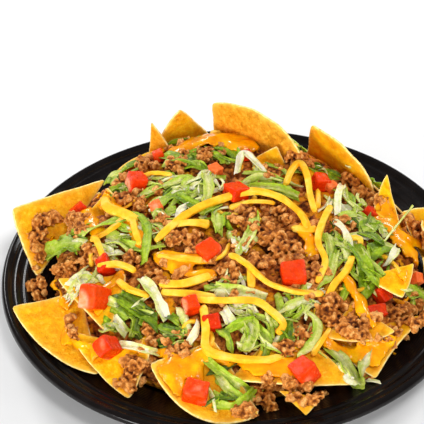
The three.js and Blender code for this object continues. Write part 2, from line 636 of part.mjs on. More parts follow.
// The heap: its core with the toppings fused on, cleared round the rest.
const parts = [];
SAUCE.forEach((s) => parts.push(makeSauce(s)));
BEEF.forEach(([x, y, r, count], i) => {
  const random = stream(500 + i);
  for (let k = 0; k < count; k++) {
    const a = rad(137.5 * k + 90 * random() + 40 * i), d = k === 0 ? 0 : r * (0.75 + 0.3 * random());
    const size = k === 0 ? r * 0.8 : CRUMB_R * (0.85 + 0.4 * random());
    parts.push(makeCrumb(onHeap(x + d * Math.cos(a), y + d * Math.sin(a), k === 0 ? 0 : 0.5), size, random));
  }
});
const span = ([w, , line]) => w * line.slice(1)
  .reduce((sum, [x, y], k) => sum + Math.hypot(x - line[k][0], y - line[k][1]), 0);
const largestOf = (list, most) => [...list].sort((a, b) => span(b) - span(a)).slice(0, most);
largestOf(LETTUCE, MOST_LETTUCE).forEach(([w, lift, line], i) => parts.push(
  makeStrip(line, w, LETTUCE_T, lift, 0.7, 900 + i)));
largestOf(CHEESE, MOST_CHEESE).forEach(([w, lift, line], i) => parts.push(
  makeStrip(line, CHEESE_W * w, CHEESE_T, lift + 1, 0, 1300 + i)));
const heapGuard = Manifold.union([plateGuard, ...tomatoGuards, ...chipGuards]);
const heap = skin(Manifold.union(parts).subtract(heapGuard).add(core));

const group = new THREE.Group();
group.name = 'loaded_nachos';
group.add(meshOf(plate, 'plate', 0x0c0b0b, 0.25));
chips.forEach((body, i) => group.add(meshOf(body, `chip_${i + 1}`, 0xe0a030, 0.7)));
tomatoes.forEach((body, i) => group.add(meshOf(body, `tomato_${i + 1}`, 0xe0341c, 0.35)));
group.add(meshOf(heap, 'heap', 0x8a5230, 0.7));

export default group;
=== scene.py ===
# %% [markdown]
# A plate of loaded nachos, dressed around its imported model.
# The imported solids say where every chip, tomato dice and the plate are. This
# script puts the real surfaces there: a glossy plate, blistered corn chips,
# tomato dice with wet flesh, and, in place of the plain heap, beef crumbs,
# melted cheese, shredded lettuce and shredded cheese.

# %% Load the frame
import random
from math import copysign, cos, hypot, pi, radians, sin, sqrt, tau

import bmesh
import bpy
import numpy as np
from mathutils import Euler, Matrix, Vector, noise
from mathutils.bvhtree import BVHTree


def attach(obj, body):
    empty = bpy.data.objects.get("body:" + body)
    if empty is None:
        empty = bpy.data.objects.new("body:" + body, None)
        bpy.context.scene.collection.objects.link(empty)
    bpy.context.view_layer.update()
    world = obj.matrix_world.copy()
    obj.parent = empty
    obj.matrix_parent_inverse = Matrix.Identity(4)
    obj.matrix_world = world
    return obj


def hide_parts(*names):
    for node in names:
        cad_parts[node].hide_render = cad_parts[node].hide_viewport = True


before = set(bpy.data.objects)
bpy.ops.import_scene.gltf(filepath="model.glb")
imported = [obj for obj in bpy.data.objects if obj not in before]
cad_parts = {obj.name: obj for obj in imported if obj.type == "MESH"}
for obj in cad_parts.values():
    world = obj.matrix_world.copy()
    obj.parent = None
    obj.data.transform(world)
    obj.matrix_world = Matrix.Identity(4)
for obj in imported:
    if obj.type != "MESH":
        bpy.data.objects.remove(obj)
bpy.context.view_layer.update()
scene = bpy.context.scene
print("packed nodes:", len(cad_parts))

# %% [markdown]
# Lists of places are in millimetres, as a cook would measure the plate, and
# every finished mesh is scaled to metres once. The heap follows one dome: low
# and round at the front, flat on top with a steep edge at the back.

# %% The heap's dome
MM = 0.001
HEAP_RX, HEAP_RY = 110, 100  # half width and half depth of the heap
HEAP_BASE, HEAP_RISE = 12, 41  # height of its edge, and its rise above that
HEAP_LEAN = 0.1  # extra rise for each millimetre towards +Y
HEAP_POWER, BACK_SWELL = 3.6, 3  # how square the dome's side is, and its extra at the back
SHOULDER = 0.7  # how round the dome's shoulder is
SPAN, STEEPEST = 3, 1.2  # its slope is taken over this distance, and limited
CORE_DROP = 2  # the bed lies this far under the toppings
WELL_R, WELL_Z = 84, 3  # edge and height of the plate's flat well
RIM_R, RIM_Z, CLIMB = 98, 11, 0.38  # foot of the plate's rim, and how it climbs


def clamp(value, low, high):
    return max(low, min(high, value))


def blend(low, high, value):
    """0 below low, 1 above high, and a smooth step between."""
    t = clamp((value - low) / (high - low), 0, 1)
    return t * t * (3 - 2 * t)


def dome(x, y):
    r = hypot(x / HEAP_RX, y / HEAP_RY)
    s = y / HEAP_RY / r if r > 1e-6 else 0
    power = HEAP_POWER + (2 * s + s * s if s < 0 else BACK_SWELL * s ** 6)
    left = max(0, 1 - min(r, 1) ** power)
    return HEAP_BASE + (HEAP_RISE + HEAP_LEAN * y) * left ** SHOULDER


def dome_normal(x, y):
    gx, gy = (clamp((dome(x + dx, y + dy) - dome(x - dx, y - dy)) / (2 * SPAN), -STEEPEST, STEEPEST)
              for dx, dy in ((SPAN, 0), (0, SPAN)))
    return Vector((-gx, -gy, 1)).normalized()


def on_heap(x, y, lift=0.0):
    return Vector((x, y, dome(x, y))) + dome_normal(x, y) * lift


def plate_top(r):
    """Height of the plate's upper face at radius r."""
    if r < RIM_R:
        return WELL_Z + (RIM_Z - WELL_Z) * blend(WELL_R, RIM_R, r)
    return RIM_Z + (r - RIM_R) * CLIMB


print("top of the dome:", round(dome(0, 60), 1), "mm")

# %% [markdown]
# Food never repeats, so every shape is pushed about by noise, and every
# scatter draws from its own seeded stream, so that each run is the same.

# %% Small helpers
def wobble(p, size, seed=0.0):
    """Smooth noise from about -1 to 1, with features of that size in mm."""
    return noise.noise(Vector(p) / size + Vector((seed, seed * 1.7, -seed)))


def along(points, t):
    """The point at t, from 0 to 1, of a smooth line through the points."""
    n = len(points) - 1
    k = min(int(t * n), n - 1)
    f = t * n - k
    a, b, c, d = (points[clamp(k + i, 0, n)] for i in (-1, 0, 1, 2))
    return 0.5 * (2 * b + (c - a) * f + (2 * a - 5 * b + 4 * c - d) * f ** 2
                  + (3 * b - a - 3 * c + d) * f ** 3)


def length_of(points):
    return sum((b - a).length for a, b in zip(points, points[1:]))


def line_of(row):
    """Points (x, y) are listed one after the other, free ones (x, y, z) whole."""
    return row if isinstance(row[0], tuple) else list(zip(row[::2], row[1::2]))


def beside(x, y, reach, angle):
    """The point at that distance and angle from (x, y)."""
    return x + reach * cos(angle), y + reach * sin(angle)


def placed(name, data):
    """A new object in the scene."""
    made = bpy.data.objects.new(name, data)
    scene.collection.objects.link(made)
    return made


def as_mesh(bm, name="part"):
    mesh = bpy.data.meshes.new(name)
    bm.to_mesh(mesh)
    bm.free()
    return mesh


def in_metres(bm):
    bmesh.ops.scale(bm, vec=(MM, MM, MM), verts=bm.verts)
    return as_mesh(bm)


def into(bm, part):
    """Adds one small mesh to a large one."""
    mesh = as_mesh(part)
    bm.from_mesh(mesh)
    bpy.data.meshes.remove(mesh)


def show(name, mesh, slot, replaces, *materials):
    """A mesh in metres as a piece that rides on the part, in place of a node."""
    mesh.name = name
    for material in materials:
        mesh.materials.append(material)
    mesh.shade_smooth()
    piece = placed(name, mesh)
    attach(piece, "root")
    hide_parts(replaces)
    return piece


def grid(bm, across, deep):
    """A flat grid from -1 to 1, and its points."""
    return bmesh.ops.create_grid(bm, x_segments=across, y_segments=deep, size=1)["verts"]


def outward(bm):
    bmesh.ops.recalc_face_normals(bm, faces=bm.faces)


def facing(bm, way):
    """Flips a sheet whose faces look away from that direction."""
    if sum(f.normal.dot(way) for f in bm.faces) < 0:
        bmesh.ops.reverse_faces(bm, faces=bm.faces)


def thicken(piece, thickness, offset=0):
    """Gives a sheet its thickness: offset 0 on both sides, -1 underneath."""
    solid = piece.modifiers.new("thickness", "SOLIDIFY")
    solid.thickness, solid.offset = thickness * MM, offset
    return solid


def soften(piece):
    soft = piece.modifiers.new("soft", "SUBSURF")
    soft.levels = soft.render_levels = 1


def sharpen(piece, weight):
    """Shading that follows the large faces, so that cut edges look cut."""
    crisp = piece.modifiers.new("crisp", "WEIGHTED_NORMAL")
    crisp.mode, crisp.weight = "FACE_AREA", weight


# %% [markdown]
# Materials are built from a few kinds of node: noise on Object coordinates
# for mottling, a colour ramp for the tints, an attribute where a pattern
# follows the piece (the rim of a chip, the rib of a leaf), and a bump.

# %% Material helpers
class Finish:
    """A principled material that is put together line by line."""

    def __init__(self, name, **values):
        self.material = bpy.data.materials.new(name)
        self.material.use_nodes = True
        self.tree = self.material.node_tree
        self.shader = self.tree.nodes["Principled BSDF"]
        self.place = self.node("TexCoord").outputs["Object"]
        for socket, value in values.items():
            self.join(self.shader.inputs[socket.replace("_", " ")], value)

    def join(self, socket, value):
        """Links an input to another node, or sets it to a fixed value."""
        if isinstance(value, bpy.types.NodeSocket):
            self.tree.links.new(value, socket)
        else:
            socket.default_value = (*value[:3], 1) if socket.type == "RGBA" else value

    def node(self, kind, **values):
        made = self.tree.nodes.new("ShaderNode" + kind)
        for socket, value in values.items():
            self.join(made.inputs[socket.replace("_", " ")], value)
        return made

    def noise(self, size, detail=3.0, rough=0.55, distort=0.0):
        """Noise whose features are about `size` millimetres."""
        return self.node("TexNoise", Vector=self.place, Scale=1 / (size * MM), Detail=detail,
                         Roughness=rough, Distortion=distort).outputs["Fac"]

    def attribute(self, name):
        """A value that the points of the piece carry."""
        node = self.node("Attribute")
        node.attribute_name = name
        return node.outputs["Fac"]

    def ramp(self, value, *stops):
        """A value turned into a colour: stops are (position, r, g, b)."""
        node = self.node("ValToRGB", Fac=value)
        ramp = node.color_ramp
        while len(ramp.elements) < len(stops):
            ramp.elements.new(0.5)
        for element, (position, *colour) in zip(ramp.elements, stops):
            element.position = position
            element.color = (*colour, 1)
        return node.outputs["Color"]

    def range(self, value, low, high, to_low=0.0, to_high=1.0):
        """The stretch of a value from low to high, moved to another range."""
        return self.node("MapRange", Value=value, From_Min=low, From_Max=high,
                         To_Min=to_low, To_Max=to_high).outputs["Result"]

    def mix(self, factor, a, b, kind="MIX"):
        """Colour a with as much of colour b over it as the factor says."""
        node = self.node("Mix")
        node.data_type, node.blend_type = "RGBA", kind
        sockets = {s.identifier: s for s in node.inputs}
        for key, value in (("Factor_Float", factor), ("A_Color", a), ("B_Color", b)):
            self.join(sockets[key], value)
        return next(s for s in node.outputs if s.identifier == "Result_Color")

    def math(self, kind, a, b=0.0):
        node = self.node("Math")
        node.operation = kind
        self.join(node.inputs[0], a)
        self.join(node.inputs[1], b)
        return node.outputs["Value"]

    def times(self, a, b):
        return self.math("MULTIPLY", a, b)

    def plus(self, a, b):
        return self.math("ADD", a, b)

    def colour(self, output):
        self.join(self.shader.inputs["Base Color"], output)

    def roughness(self, size, detail, low, high):
        """Gloss that wanders in patches of about `size` millimetres."""
        self.join(self.shader.inputs["Roughness"], self.range(self.noise(size, detail), 0.3, 0.7, low, high))

    def bump(self, height, strength, depth_mm):
        node = self.node("Bump", Height=height, Strength=strength, Distance=depth_mm * MM)
        self.join(self.shader.inputs["Normal"], node.outputs["Normal"])


# %% [markdown]
# The camera looks down at 39 degrees through a long lens, rolled a little.
# The floor is a sheet of pale paper. One soft lamp stands high over the front
# and two stand behind, which draw the highlights of the plate's rim, while two
# weak low lamps open the shadows of the chips that stand upright.

# %% Camera
CAMERA_AT = Vector((-0.0125, -0.6885, 0.6099))
CAMERA_TILT, CAMERA_ROLL = radians(38.59), radians(-1.55)
LENS, SENSOR = 139.0, 36.0
camera_data = bpy.data.cameras.new("camera")
camera_data.lens, camera_data.sensor_width = LENS, SENSOR
camera = placed("camera", camera_data)
forward = Vector((0, cos(CAMERA_TILT), -sin(CAMERA_TILT)))
flat_up = Vector((0, sin(CAMERA_TILT), cos(CAMERA_TILT)))
right = Vector((1, 0, 0)) * cos(CAMERA_ROLL) + flat_up * sin(CAMERA_ROLL)
above = flat_up * cos(CAMERA_ROLL) - Vector((1, 0, 0)) * sin(CAMERA_ROLL)
columns = zip(right, above, -forward, CAMERA_AT)
camera.matrix_world = Matrix([*columns, (0, 0, 0, 1)])
scene.camera = camera
print("camera at", tuple(CAMERA_AT))

# %% Floor and lights
FLOOR_HALF = 3  # half the side of the sheet of paper, in metres
SKY = 0.27  # strength of the even light from all round
AIM = Vector((0, 0, 0.02))
scene.view_settings.view_transform = "Standard"
scene.view_settings.look = "None"
world = bpy.data.worlds.new("studio")
world.use_nodes = True
sky = world.node_tree.nodes["Background"].inputs
sky["Color"].default_value = (1, 1, 1, 1)
sky["Strength"].default_value = SKY
scene.world = world

bm = bmesh.new()
bmesh.ops.create_grid(bm, x_segments=1, y_segments=1, size=FLOOR_HALF)
floor_mesh = as_mesh(bm, "floor")
floor = placed("floor", floor_mesh)
paper = Finish("paper", Roughness=0.9, Specular_IOR_Level=0.1)
paper.colour(paper.ramp(paper.noise(40), (0.3, 0.81, 0.81, 0.81), (0.7, 0.83, 0.83, 0.83)))
floor_mesh.materials.append(paper.material)


def softbox(name, at, size, share):
    """A round soft lamp that alone lights a white floor to this share of white."""
    light = bpy.data.lights.new(name, "AREA")
    light.shape, light.size = "DISK", size
    light.energy = share * pi ** 2 * Vector(at).length ** 3 / at[2]
    aim = (AIM - Vector(at)).to_track_quat("-Z", "Y").to_matrix().to_4x4()
    placed(name, light).matrix_world = Matrix.Translation(at) @ aim


softbox("front", (0.22, -0.62, 1.15), 0.32, 0.29)
softbox("back left", (-0.50, 0.85, 0.62), 0.4, 0.29)
softbox("back right", (0.78, 0.62, 0.68), 0.4, 0.30)
softbox("low front", (0.10, -1.10, 0.28), 0.5, 0.08)
softbox("low left", (-0.75, -0.90, 0.24), 0.4, 0.14)

# %% [markdown]
# The plate is moulded black plastic. Its real shape is one profile turned
# about the axis, so a spin of that profile makes it: up the inside, over three
# fine rings near the lip and round the rolled edge. A finer turn than the
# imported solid's keeps its highlights round, and rings too fine to be cut are
# left to the bump, which follows each point's distance from the axis.

# %% Plate
PLATE_TURNS = 160
RING_TURNS = 4.2  # radians of the fine turned rings in a millimetre of radius
PLATE_PROFILE = [
    (0, 3), (40, 3), (84, 3), (86.5, 3.5), (88.5, 4.6), (91, 6.6), (93.4, 8.4), (95.6, 9.9), (98, 11),
    (106, 14.1), (113.4, 17.0), (114.6, 17.6), (115.4, 18.5), (116.4, 18.8), (117.4, 18.5), (118.2, 18.3),
    (119.6, 18.6), (120.6, 19.5), (121.6, 20.0), (122.6, 19.8), (123.4, 19.7), (124.4, 20.6),
    (125.4, 21.7), (126.4, 22.3), (127.6, 22.4), (128.6, 21.9), (129.3, 20.8), (129.6, 19.2), (129.2, 18.7),
    (128.2, 19.0), (126.6, 18.6), (124.6, 17.6), (112, 14.2), (98, 9), (93, 5.2), (88, 1.4), (86, 0.4),
    (83, 0), (40, 0), (0, 0),
]


def plate_finish():
    f = Finish("plate_black", Roughness=0.2, Specular_IOR_Level=0.17, Base_Color=(0.006, 0.0055, 0.0055))
    f.colour(f.ramp(f.noise(9), (0.35, 0.0040, 0.0028, 0.0028), (0.65, 0.0075, 0.0055, 0.0052)))
    f.roughness(14, 5, 0.12, 0.24)
    rings = f.math("SINE", f.times(f.attribute("ring"), RING_TURNS))
    f.bump(f.plus(rings, f.noise(6, 2)), 0.45, 0.08)
    return f.material


bm = bmesh.new()
profile = [bm.verts.new((r, 0, z)) for r, z in PLATE_PROFILE]
profile_edges = [bm.edges.new(pair) for pair in zip(profile, profile[1:])]
bmesh.ops.spin(bm, geom=profile + profile_edges, axis=(0, 0, 1), cent=(0, 0, 0),
               angle=tau, steps=PLATE_TURNS, use_merge=True)
bmesh.ops.remove_doubles(bm, verts=bm.verts, dist=0.001)
outward(bm)
ring = bm.verts.layers.float.new("ring")
for v in bm.verts:
    v[ring] = v.co.xy.length
plate = show("plate_turned", in_metres(bm), "plate_black", "plate", plate_finish())
print("plate faces:", len(plate.data.polygons))

# %% [markdown]
# A corn chip is a sector cut from a thin round of masa and fried: it has one
# pointed corner, two straight cut edges, one rounded edge, and a bend and a
# cup that it took in the oil. Each starts as one triangle. Its corners hold
# weights, so that after the triangle is subdivided every vertex knows its
# share of the three corners and can be put on the curved surface.

# %% Chip places
# corner a, far corners b and c, bulge of the edge b-c, bend, cup, toast: 0 pale
# yellow, 1 brown
CHIPS = [
    ((-110, -3, 18), (-125, 27, 46), (-71, 55, 44), 0, 4, -1, 0.5),
    ((-84, -29, 34), (-122, -34, 27), (-72, -82, 19), 8, 2, 2, 0.42),
    ((-45, -78, 34), (-90, -58, 31), (-57, -98, 17), 3, 2, 2, 0.15),
    ((-58, -30, 45), (-97, -24, 37), (-68, -67, 35), 1, 2, 3, 0.1),
    ((-13, -74, 37), (-48, -85, 32), (10, -113, 20), 17, 3, 1, 0.35),
    ((32, -114, 19), (18, -101, 25), (39, -108, 23), 1, -3, 3, 0.8),
    ((26, -58, 35), (-7, -95, 28), (59, -99, 25), 3, 0, 2, 0.45),
    ((41, -67, 31), (69, -89, 18), (102, -51, 30), -3, 3, 2, 0.35),
    ((60, -48, 39), (44, -73, 35), (81, -71, 36), 3, 2, -3, 0.4),
    ((67, -38, 44), (86, -51, 39), (95, -24, 42), 1, 1, 1, 0.0),
    ((84, 22, 67), (75, 11, 46), (91, 11, 40), 2, 3, -2, 0.05),
    ((105, -2, 20), (115, 23, 44), (92, 17, 44), 0, 4, -2, 0.3),
    ((47, 92, 19), (80, 32, 42), (45, 62, 74), 13, 3, 2, 0.1),
    ((-2, 96, 19), (41, 47, 53), (-11, 85, 75), 21, 4, 2, 1.0),
    ((-29, 81, 73), (-51, 80, 31), (-1, 103, 22), 3, -3, 3, 0.2),
    ((-46, 80, 65), (-51, 80, 28), (-33, 74, 40), 1, 2, -2, 0.7),
    ((25, 51, 66), (7, 53, 52), (31, 46, 50), 2, 2, 3, 0.1),
    ((-70, 31, 56), (-86, 25, 40), (-57, 9, 46), 2, 3, -2, 0.15),
]

# Chips that lean on the far side of the heap with two corners on the rim:
# azimuth, half width in degrees, radius and height of the upper corner, and
# how far that corner leans round.
LEANING = [
    (38, 16, 93, 38, 5), (56, 13, 97, 38, -7), (86, 16, 99, 46, 8), (111, 12, 95, 44, -5),
    (150, 15, 97, 33, 6), (168, 11, 101, 24, -4), (8, 14, 101, 44, -5), (-14, 13, 101, 38, 6),
]
LEANING_FORM = (5, -2, 2)  # bulge, bend and cup of each of them
FOOT_R, FOOT_Z = 108, 17


def polar(azimuth, r, z):
    return (*beside(0, 0, r, radians(azimuth)), z)


for i, (azimuth, half, r, z, skew) in enumerate(LEANING):
    # no two feet stand quite alike
    CHIPS.append((polar(azimuth + skew, r, z),
                  polar(azimuth - half, FOOT_R + i % 3, FOOT_Z + (i % 2) * 3),
                  polar(azimuth + half, FOOT_R + 2 - i % 3, FOOT_Z + ((i + 1) % 2) * 4),
                  *LEANING_FORM, 0.3 + 0.1 * (i % 4)))
print("chips:", len(CHIPS))


# %% Chip surface
def chip_face(chip):
    a, b, c = (Vector(p) for p in chip[:3])
    face = (b - a).cross(c - a).normalized()
    return -face if face.z < 0 else face


def on_chip(chip, wa, wb, wc):
    """The point of a chip that has these shares of its three corners."""
    a, b, c = (Vector(p) for p in chip[:3])
    bulge, bend, cup = chip[3:6]
    out = ((b + c) / 2 - a).normalized()
    p = a * wa + b * wb + c * wc + out * (bulge * 4 * wb * wc)
    far, across = (1 - wa) * 2 - 1, wc - wb
    sag = bend * (1 - far * far) + cup * (across * across - (1 - wa) ** 2)
    return p - chip_face(chip) * sag


# %% Chip finish
def chip_finish():
    f = Finish("corn_chip", Roughness=0.6, Specular_IOR_Level=0.03)
    pale = f.ramp(f.noise(7, 6, 0.62, 0.8), (0.30, 0.76, 0.24, 0.002), (0.43, 0.93, 0.36, 0.003),
                  (0.56, 1.0, 0.49, 0.005), (0.72, 1.0, 0.66, 0.020))
    brown = f.ramp(f.noise(4, 6, 0.75, 0.5), (0.32, 0.43, 0.135, 0.003), (0.44, 0.66, 0.25, 0.009),
                   (0.55, 0.80, 0.34, 0.018), (0.70, 0.92, 0.50, 0.065))
    toast = f.attribute("toast")
    specks = f.times(f.range(f.noise(1.6, 2), 0.57, 0.68), f.range(toast, 0.1, 0.9, 0.12, 0.42))
    base = f.mix(specks, f.mix(toast, pale, brown), (0.55, 0.18, 0.004))
    base = f.mix(f.range(f.noise(2.4, 3), 0.55, 0.68, 0, 0.36), base, (1.0, 0.72, 0.07))
    rim = f.math("POWER", f.attribute("rim"), 3.0)
    f.colour(f.mix(f.times(rim, 0.45), base, (1.0, 0.70, 0.13)))
    f.roughness(5, 3, 0.48, 0.72)
    f.bump(f.plus(f.noise(3.2, 4, 0.6), f.times(f.noise(0.9, 2), 0.45)), 0.7, 1.0)
    return f.material


def edge_finish():
    f = Finish("corn_chip_edge", Roughness=0.7, Specular_IOR_Level=0.25)
    f.colour(f.ramp(f.noise(2.2, 4), (0.3, 0.88, 0.50, 0.09), (0.5, 1.0, 0.72, 0.24),
                    (0.75, 1.0, 0.86, 0.46)))
    f.bump(f.noise(0.7, 3), 0.5, 0.4)
    return f.material


corn_chip, chip_edge = chip_finish(), edge_finish()

# %% Chips
CHIP_T, BARE = 1.9, 0.8  # thickness of a chip, and the share without its blisters
CHIP_CUTS, SMALL_CUTS = 13, 9  # cuts of each edge of the first triangle
SMALL_SIDE = 50  # a chip with a shorter first side gets fewer cuts
CORNER_EASE = 0.03  # how far a sharp corner is drawn in
RIM_SHARE = 9  # the rim is one part in this many of a chip's width
TALLEST = 82  # height of the tallest chip, whose tip is eased down by 1


def make_chip(number, chip):
    small = (Vector(chip[0]) - Vector(chip[1])).length < SMALL_SIDE
    face = chip_face(chip)
    middle = on_chip(chip, 1 / 3, 1 / 3, 1 / 3)
    bm = bmesh.new()
    bm.faces.new([bm.verts.new(w) for w in ((1, 0, 0), (0, 1, 0), (0, 0, 1))])
    cuts = SMALL_CUTS if small else CHIP_CUTS
    bmesh.ops.subdivide_edges(bm, edges=bm.edges, cuts=cuts, use_grid_fill=True)
    rim, toasted = (bm.verts.layers.float.new(key) for key in ("rim", "toast"))
    for v in bm.verts:
        wa, wb, wc = v.co
        v[rim] = 1 - min(1, min(wa, wb, wc) * RIM_SHARE)
        p = on_chip(chip, wa, wb, wc)
        p += (middle - p) * (CORNER_EASE * blend(0.86, 1.0, max(v.co)))
        if v.is_boundary:  # a nibbled edge
            p += (p - middle).normalized() * (0.9 * wobble(p, 7, number))
        # slow waves, blisters, and a livelier rim
        p += face * (1.1 * wobble(p, 17, number) + 0.5 * wobble(p, 6.5, number + 5))
        p += face * (0.8 * v[rim] * wobble(p, 9, number + 9))
        p.z -= blend(60, TALLEST, p.z)
        v.co = p
        v[toasted] = clamp(chip[6] + 0.25 * wobble(p, 20, 3), 0, 1)
    bm.normal_update()
    facing(bm, face)
    piece = show(f"corn_chip_{number}", in_metres(bm), "corn_chip", f"chip_{number}", corn_chip, chip_edge)
    thicken(piece, CHIP_T * BARE).material_offset_rim = 1
    soften(piece)
    return piece


chips = [make_chip(i + 1, chip) for i, chip in enumerate(CHIPS)]
print("chips made:", len(chips))

# %% [markdown]
# Under everything lies the bed of the heap: beef crumbs and melted cheese
# pressed together. It is a fine grid whose square is rounded to a disc and
# laid on the dome. Its edge is extruded down to the plate in steps, and every
# point is pushed out by a close pack of granules.

# %% Bed of the heap
BED_GRAIN = 3.2  # size of the granules
BED_STEP = 0.9  # spacing of the grid's points
BED_SIDE = 9  # steps from the edge of the disc down to the plate
BED_FLOOR = 2  # and steps from there inwards under the bed
BED_SIZE, BED_FRONT = 0.92, 0.035  # its share of the dome, and what the front has more


def beef_colour_and_painted_shade(f, fine):
    """Brown beef, with painted shade that darkens the creases and a painted highlight where a granule stands
    out.
    """
    # the ramp over the relief is painted light: near black in the creases as painted shade, pale tan on the
    # tops as a painted highlight
    tone = f.ramp(f.plus(f.attribute("relief_shade"), f.range(f.noise(4, 4, 0.65), 0.3, 0.7, -0.22, 0.22)),
                  (0.10, 0.030, 0.006, 0.001), (0.34, 0.19, 0.043, 0.005), (0.52, 0.46, 0.135, 0.014),
                  (0.72, 0.74, 0.27, 0.048), (1.0, 0.98, 0.52, 0.160))
    grain = f.ramp(f.noise(fine, 5, 0.7), (0.32, 0.55, 0.47, 0.42), (0.5, 1, 1, 1), (0.68, 1.4, 1.35, 1.3))
    base = f.mix(1.0, tone, grain, "MULTIPLY")
    return f.mix(f.range(f.noise(8, 3), 0.52, 0.64, 0, 0.30), base, (0.42, 0.095, 0.006))


def bed_finish():
    f = Finish("heap_bed", Roughness=0.55, Specular_IOR_Level=0.18)
    melt = f.ramp(f.noise(5, 3), (0.35, 0.80, 0.27, 0.002), (0.6, 0.96, 0.43, 0.006))
    f.colour(f.mix(f.range(f.noise(15, 4, 0.6, 0.5), 0.54, 0.60), beef_colour_and_painted_shade(f, 1.2), melt))
    f.bump(f.plus(f.noise(1.4, 4, 0.65), f.noise(0.6, 2)), 0.6, 0.7)
    return f.material


def granules(p, size):
    """Height of packed round granules: 0 in the creases and 1 on top."""
    p = Vector(p)
    p = p + 0.3 * size * Vector((wobble(p, size, 1), wobble(p, size, 4), wobble(p, size, 9)))
    return 1 - min(1, noise.voronoi(p / size)[0][0] / 0.8) ** 2


def bed_push(p):
    """How far the bed's relief stands out at p."""
    return (1.9 * granules(p, BED_GRAIN) + 0.9 * granules(p, BED_GRAIN / 2) - 2.1
            + 1.4 * wobble(p, 14, 8) + 1.2 * wobble(p, 6))


bm = bmesh.new()
grid(bm, int(2 * HEAP_RX / BED_STEP), int(2 * HEAP_RY / BED_STEP))
flat_place = bm.verts.layers.float_vector.new("flat")
relief_shades = bm.verts.layers.float.new("relief_shade")
for v in bm.verts:
    u, w = v.co.x, v.co.y
    x, y = u * sqrt(1 - w * w / 2), w * sqrt(1 - u * u / 2)
    edge = BED_SIZE - BED_FRONT * y
    v[flat_place] = (x * edge * HEAP_RX, y * edge * HEAP_RY, 0)
    p = on_heap(*v[flat_place].xy, -CORE_DROP)
    v.co = p + dome_normal(*v[flat_place].xy) * bed_push(p)
    # painted shade in the creases between granules and a painted highlight on their tops
    v[relief_shades] = 0.08 + 0.45 * granules(p, BED_GRAIN) + 0.3 * granules(p, BED_GRAIN / 2) + 0.2 * wobble(p, 6)
rim = [e for e in bm.edges if e.is_boundary]
for step in range(1, BED_SIDE + BED_FLOOR + 1):
    down, inward = min(1, step / BED_SIDE), max(0, step - BED_SIDE) * 0.3
    made = bmesh.ops.extrude_edge_only(bm, edges=rim)["geom"]
    for v in (g for g in made if isinstance(g, bmesh.types.BMVert)):
        place = v[flat_place] * (1 - 0.07 * down - inward)
        foot = plate_top(place.length) + 0.6
        top = on_heap(*v[flat_place].xy, -CORE_DROP).z
        p = Vector((place.x, place.y, top + (foot - top) * down))
        v.co = p + place.normalized() * (bed_push(p) * (1 - down ** 3))
        # painted shade in the creases between granules and a painted highlight on their tops
        v[relief_shades] = 0.1 + 0.6 * granules(p, BED_GRAIN)
    rim = [g for g in made if isinstance(g, bmesh.types.BMEdge)]
bmesh.ops.holes_fill(bm, edges=rim, sides=0)
outward(bm)
bed = show("heap_bed", in_metres(bm), "beef_brown", "heap", bed_finish())
print("bed faces:", len(bed.data.polygons))

# %% [markdown]
# Loose toppings lie on whatever is uppermost under them, the bed or a chip.
# The places in the lists are points of the dome. A ray along the line of sight
# through such a point finds what a topping there rests on, so that a crumb
# near the edge of the heap sits on its chip and not inside it.

# %% What a topping rests on
SEARCH = 44  # how far above and below the dome a rest is looked for
MOST_RAISED = 38  # and the most that a topping is moved towards the eye
MISSED = -9  # stands for a place with nothing under it
FAR_SIDE = 62  # beyond this the toppings simply follow the dome
ON_PLATE = 1.6  # toppings over the plate stay this far above it
END_LIFT, MORE_LIFT = 0.55, 0.45  # a strip's lift at its ends, and what its middle has more
COURSE_STEP, COURSE_EASE = 3, 3  # spacing of the points of its line, and how often they are eased
STRIP_STEP, STRIP_STEPS = 1.8, 5  # spacing of its sections, and the fewest of them
LOOK = 0.03  # its direction is taken over this share of it to both sides
FREE_UP = (0.15, -0.6, 0.8)  # the way that a strip in the air faces


def surface_tree(pieces):
    """A search tree of the pieces' finished surfaces, in millimetres."""
    graph = bpy.context.evaluated_depsgraph_get()
    corners, faces = [], []
    for piece in pieces:
        mesh = piece.evaluated_get(graph).data
        start = len(corners)
        corners += [v.co / MM for v in mesh.vertices]
        faces += [[start + i for i in f.vertices] for f in mesh.polygons]
    return BVHTree.FromPolygons(corners, faces)


rests = surface_tree(chips + [bed])
raised = {}


def raise_at(x, y):
    """How far towards the eye the uppermost surface lies from the dome."""
    key = (round(x), round(y))
    if key not in raised:
        p = on_heap(*key)
        hit = rests.ray_cast(p - forward * SEARCH, forward, 2 * SEARCH)[0]
        raised[key] = clamp((p - hit).dot(forward), -CORE_DROP, MOST_RAISED) if hit else MISSED
    return raised[key]


def raised_round(x, y, reach):
    """How high the surfaces lie at four places round (x, y)."""
    return [raise_at(x + dx, y + dy) for dx, dy in ((reach, 0), (-reach, 0), (0, reach), (0, -reach))]


def up_at(x, y):
    """How far a topping over (x, y) moves towards the eye."""
    return max(0.0, raise_at(x, y)) if y < FAR_SIDE else 0.0


def over_plate(p, gap=ON_PLATE):
    """The point itself, or the one above it where the plate is in the way."""
    return Vector((p.x, p.y, max(p.z, plate_top(p.xy.length) + gap)))


def seat(x, y, lift=0.0):
    """The place of a loose topping over the point (x, y) of the dome."""
    return over_plate(on_heap(x, y, lift) - forward * up_at(x, y))


print("rest at the middle:", tuple(round(v, 1) for v in seat(0, 0)))


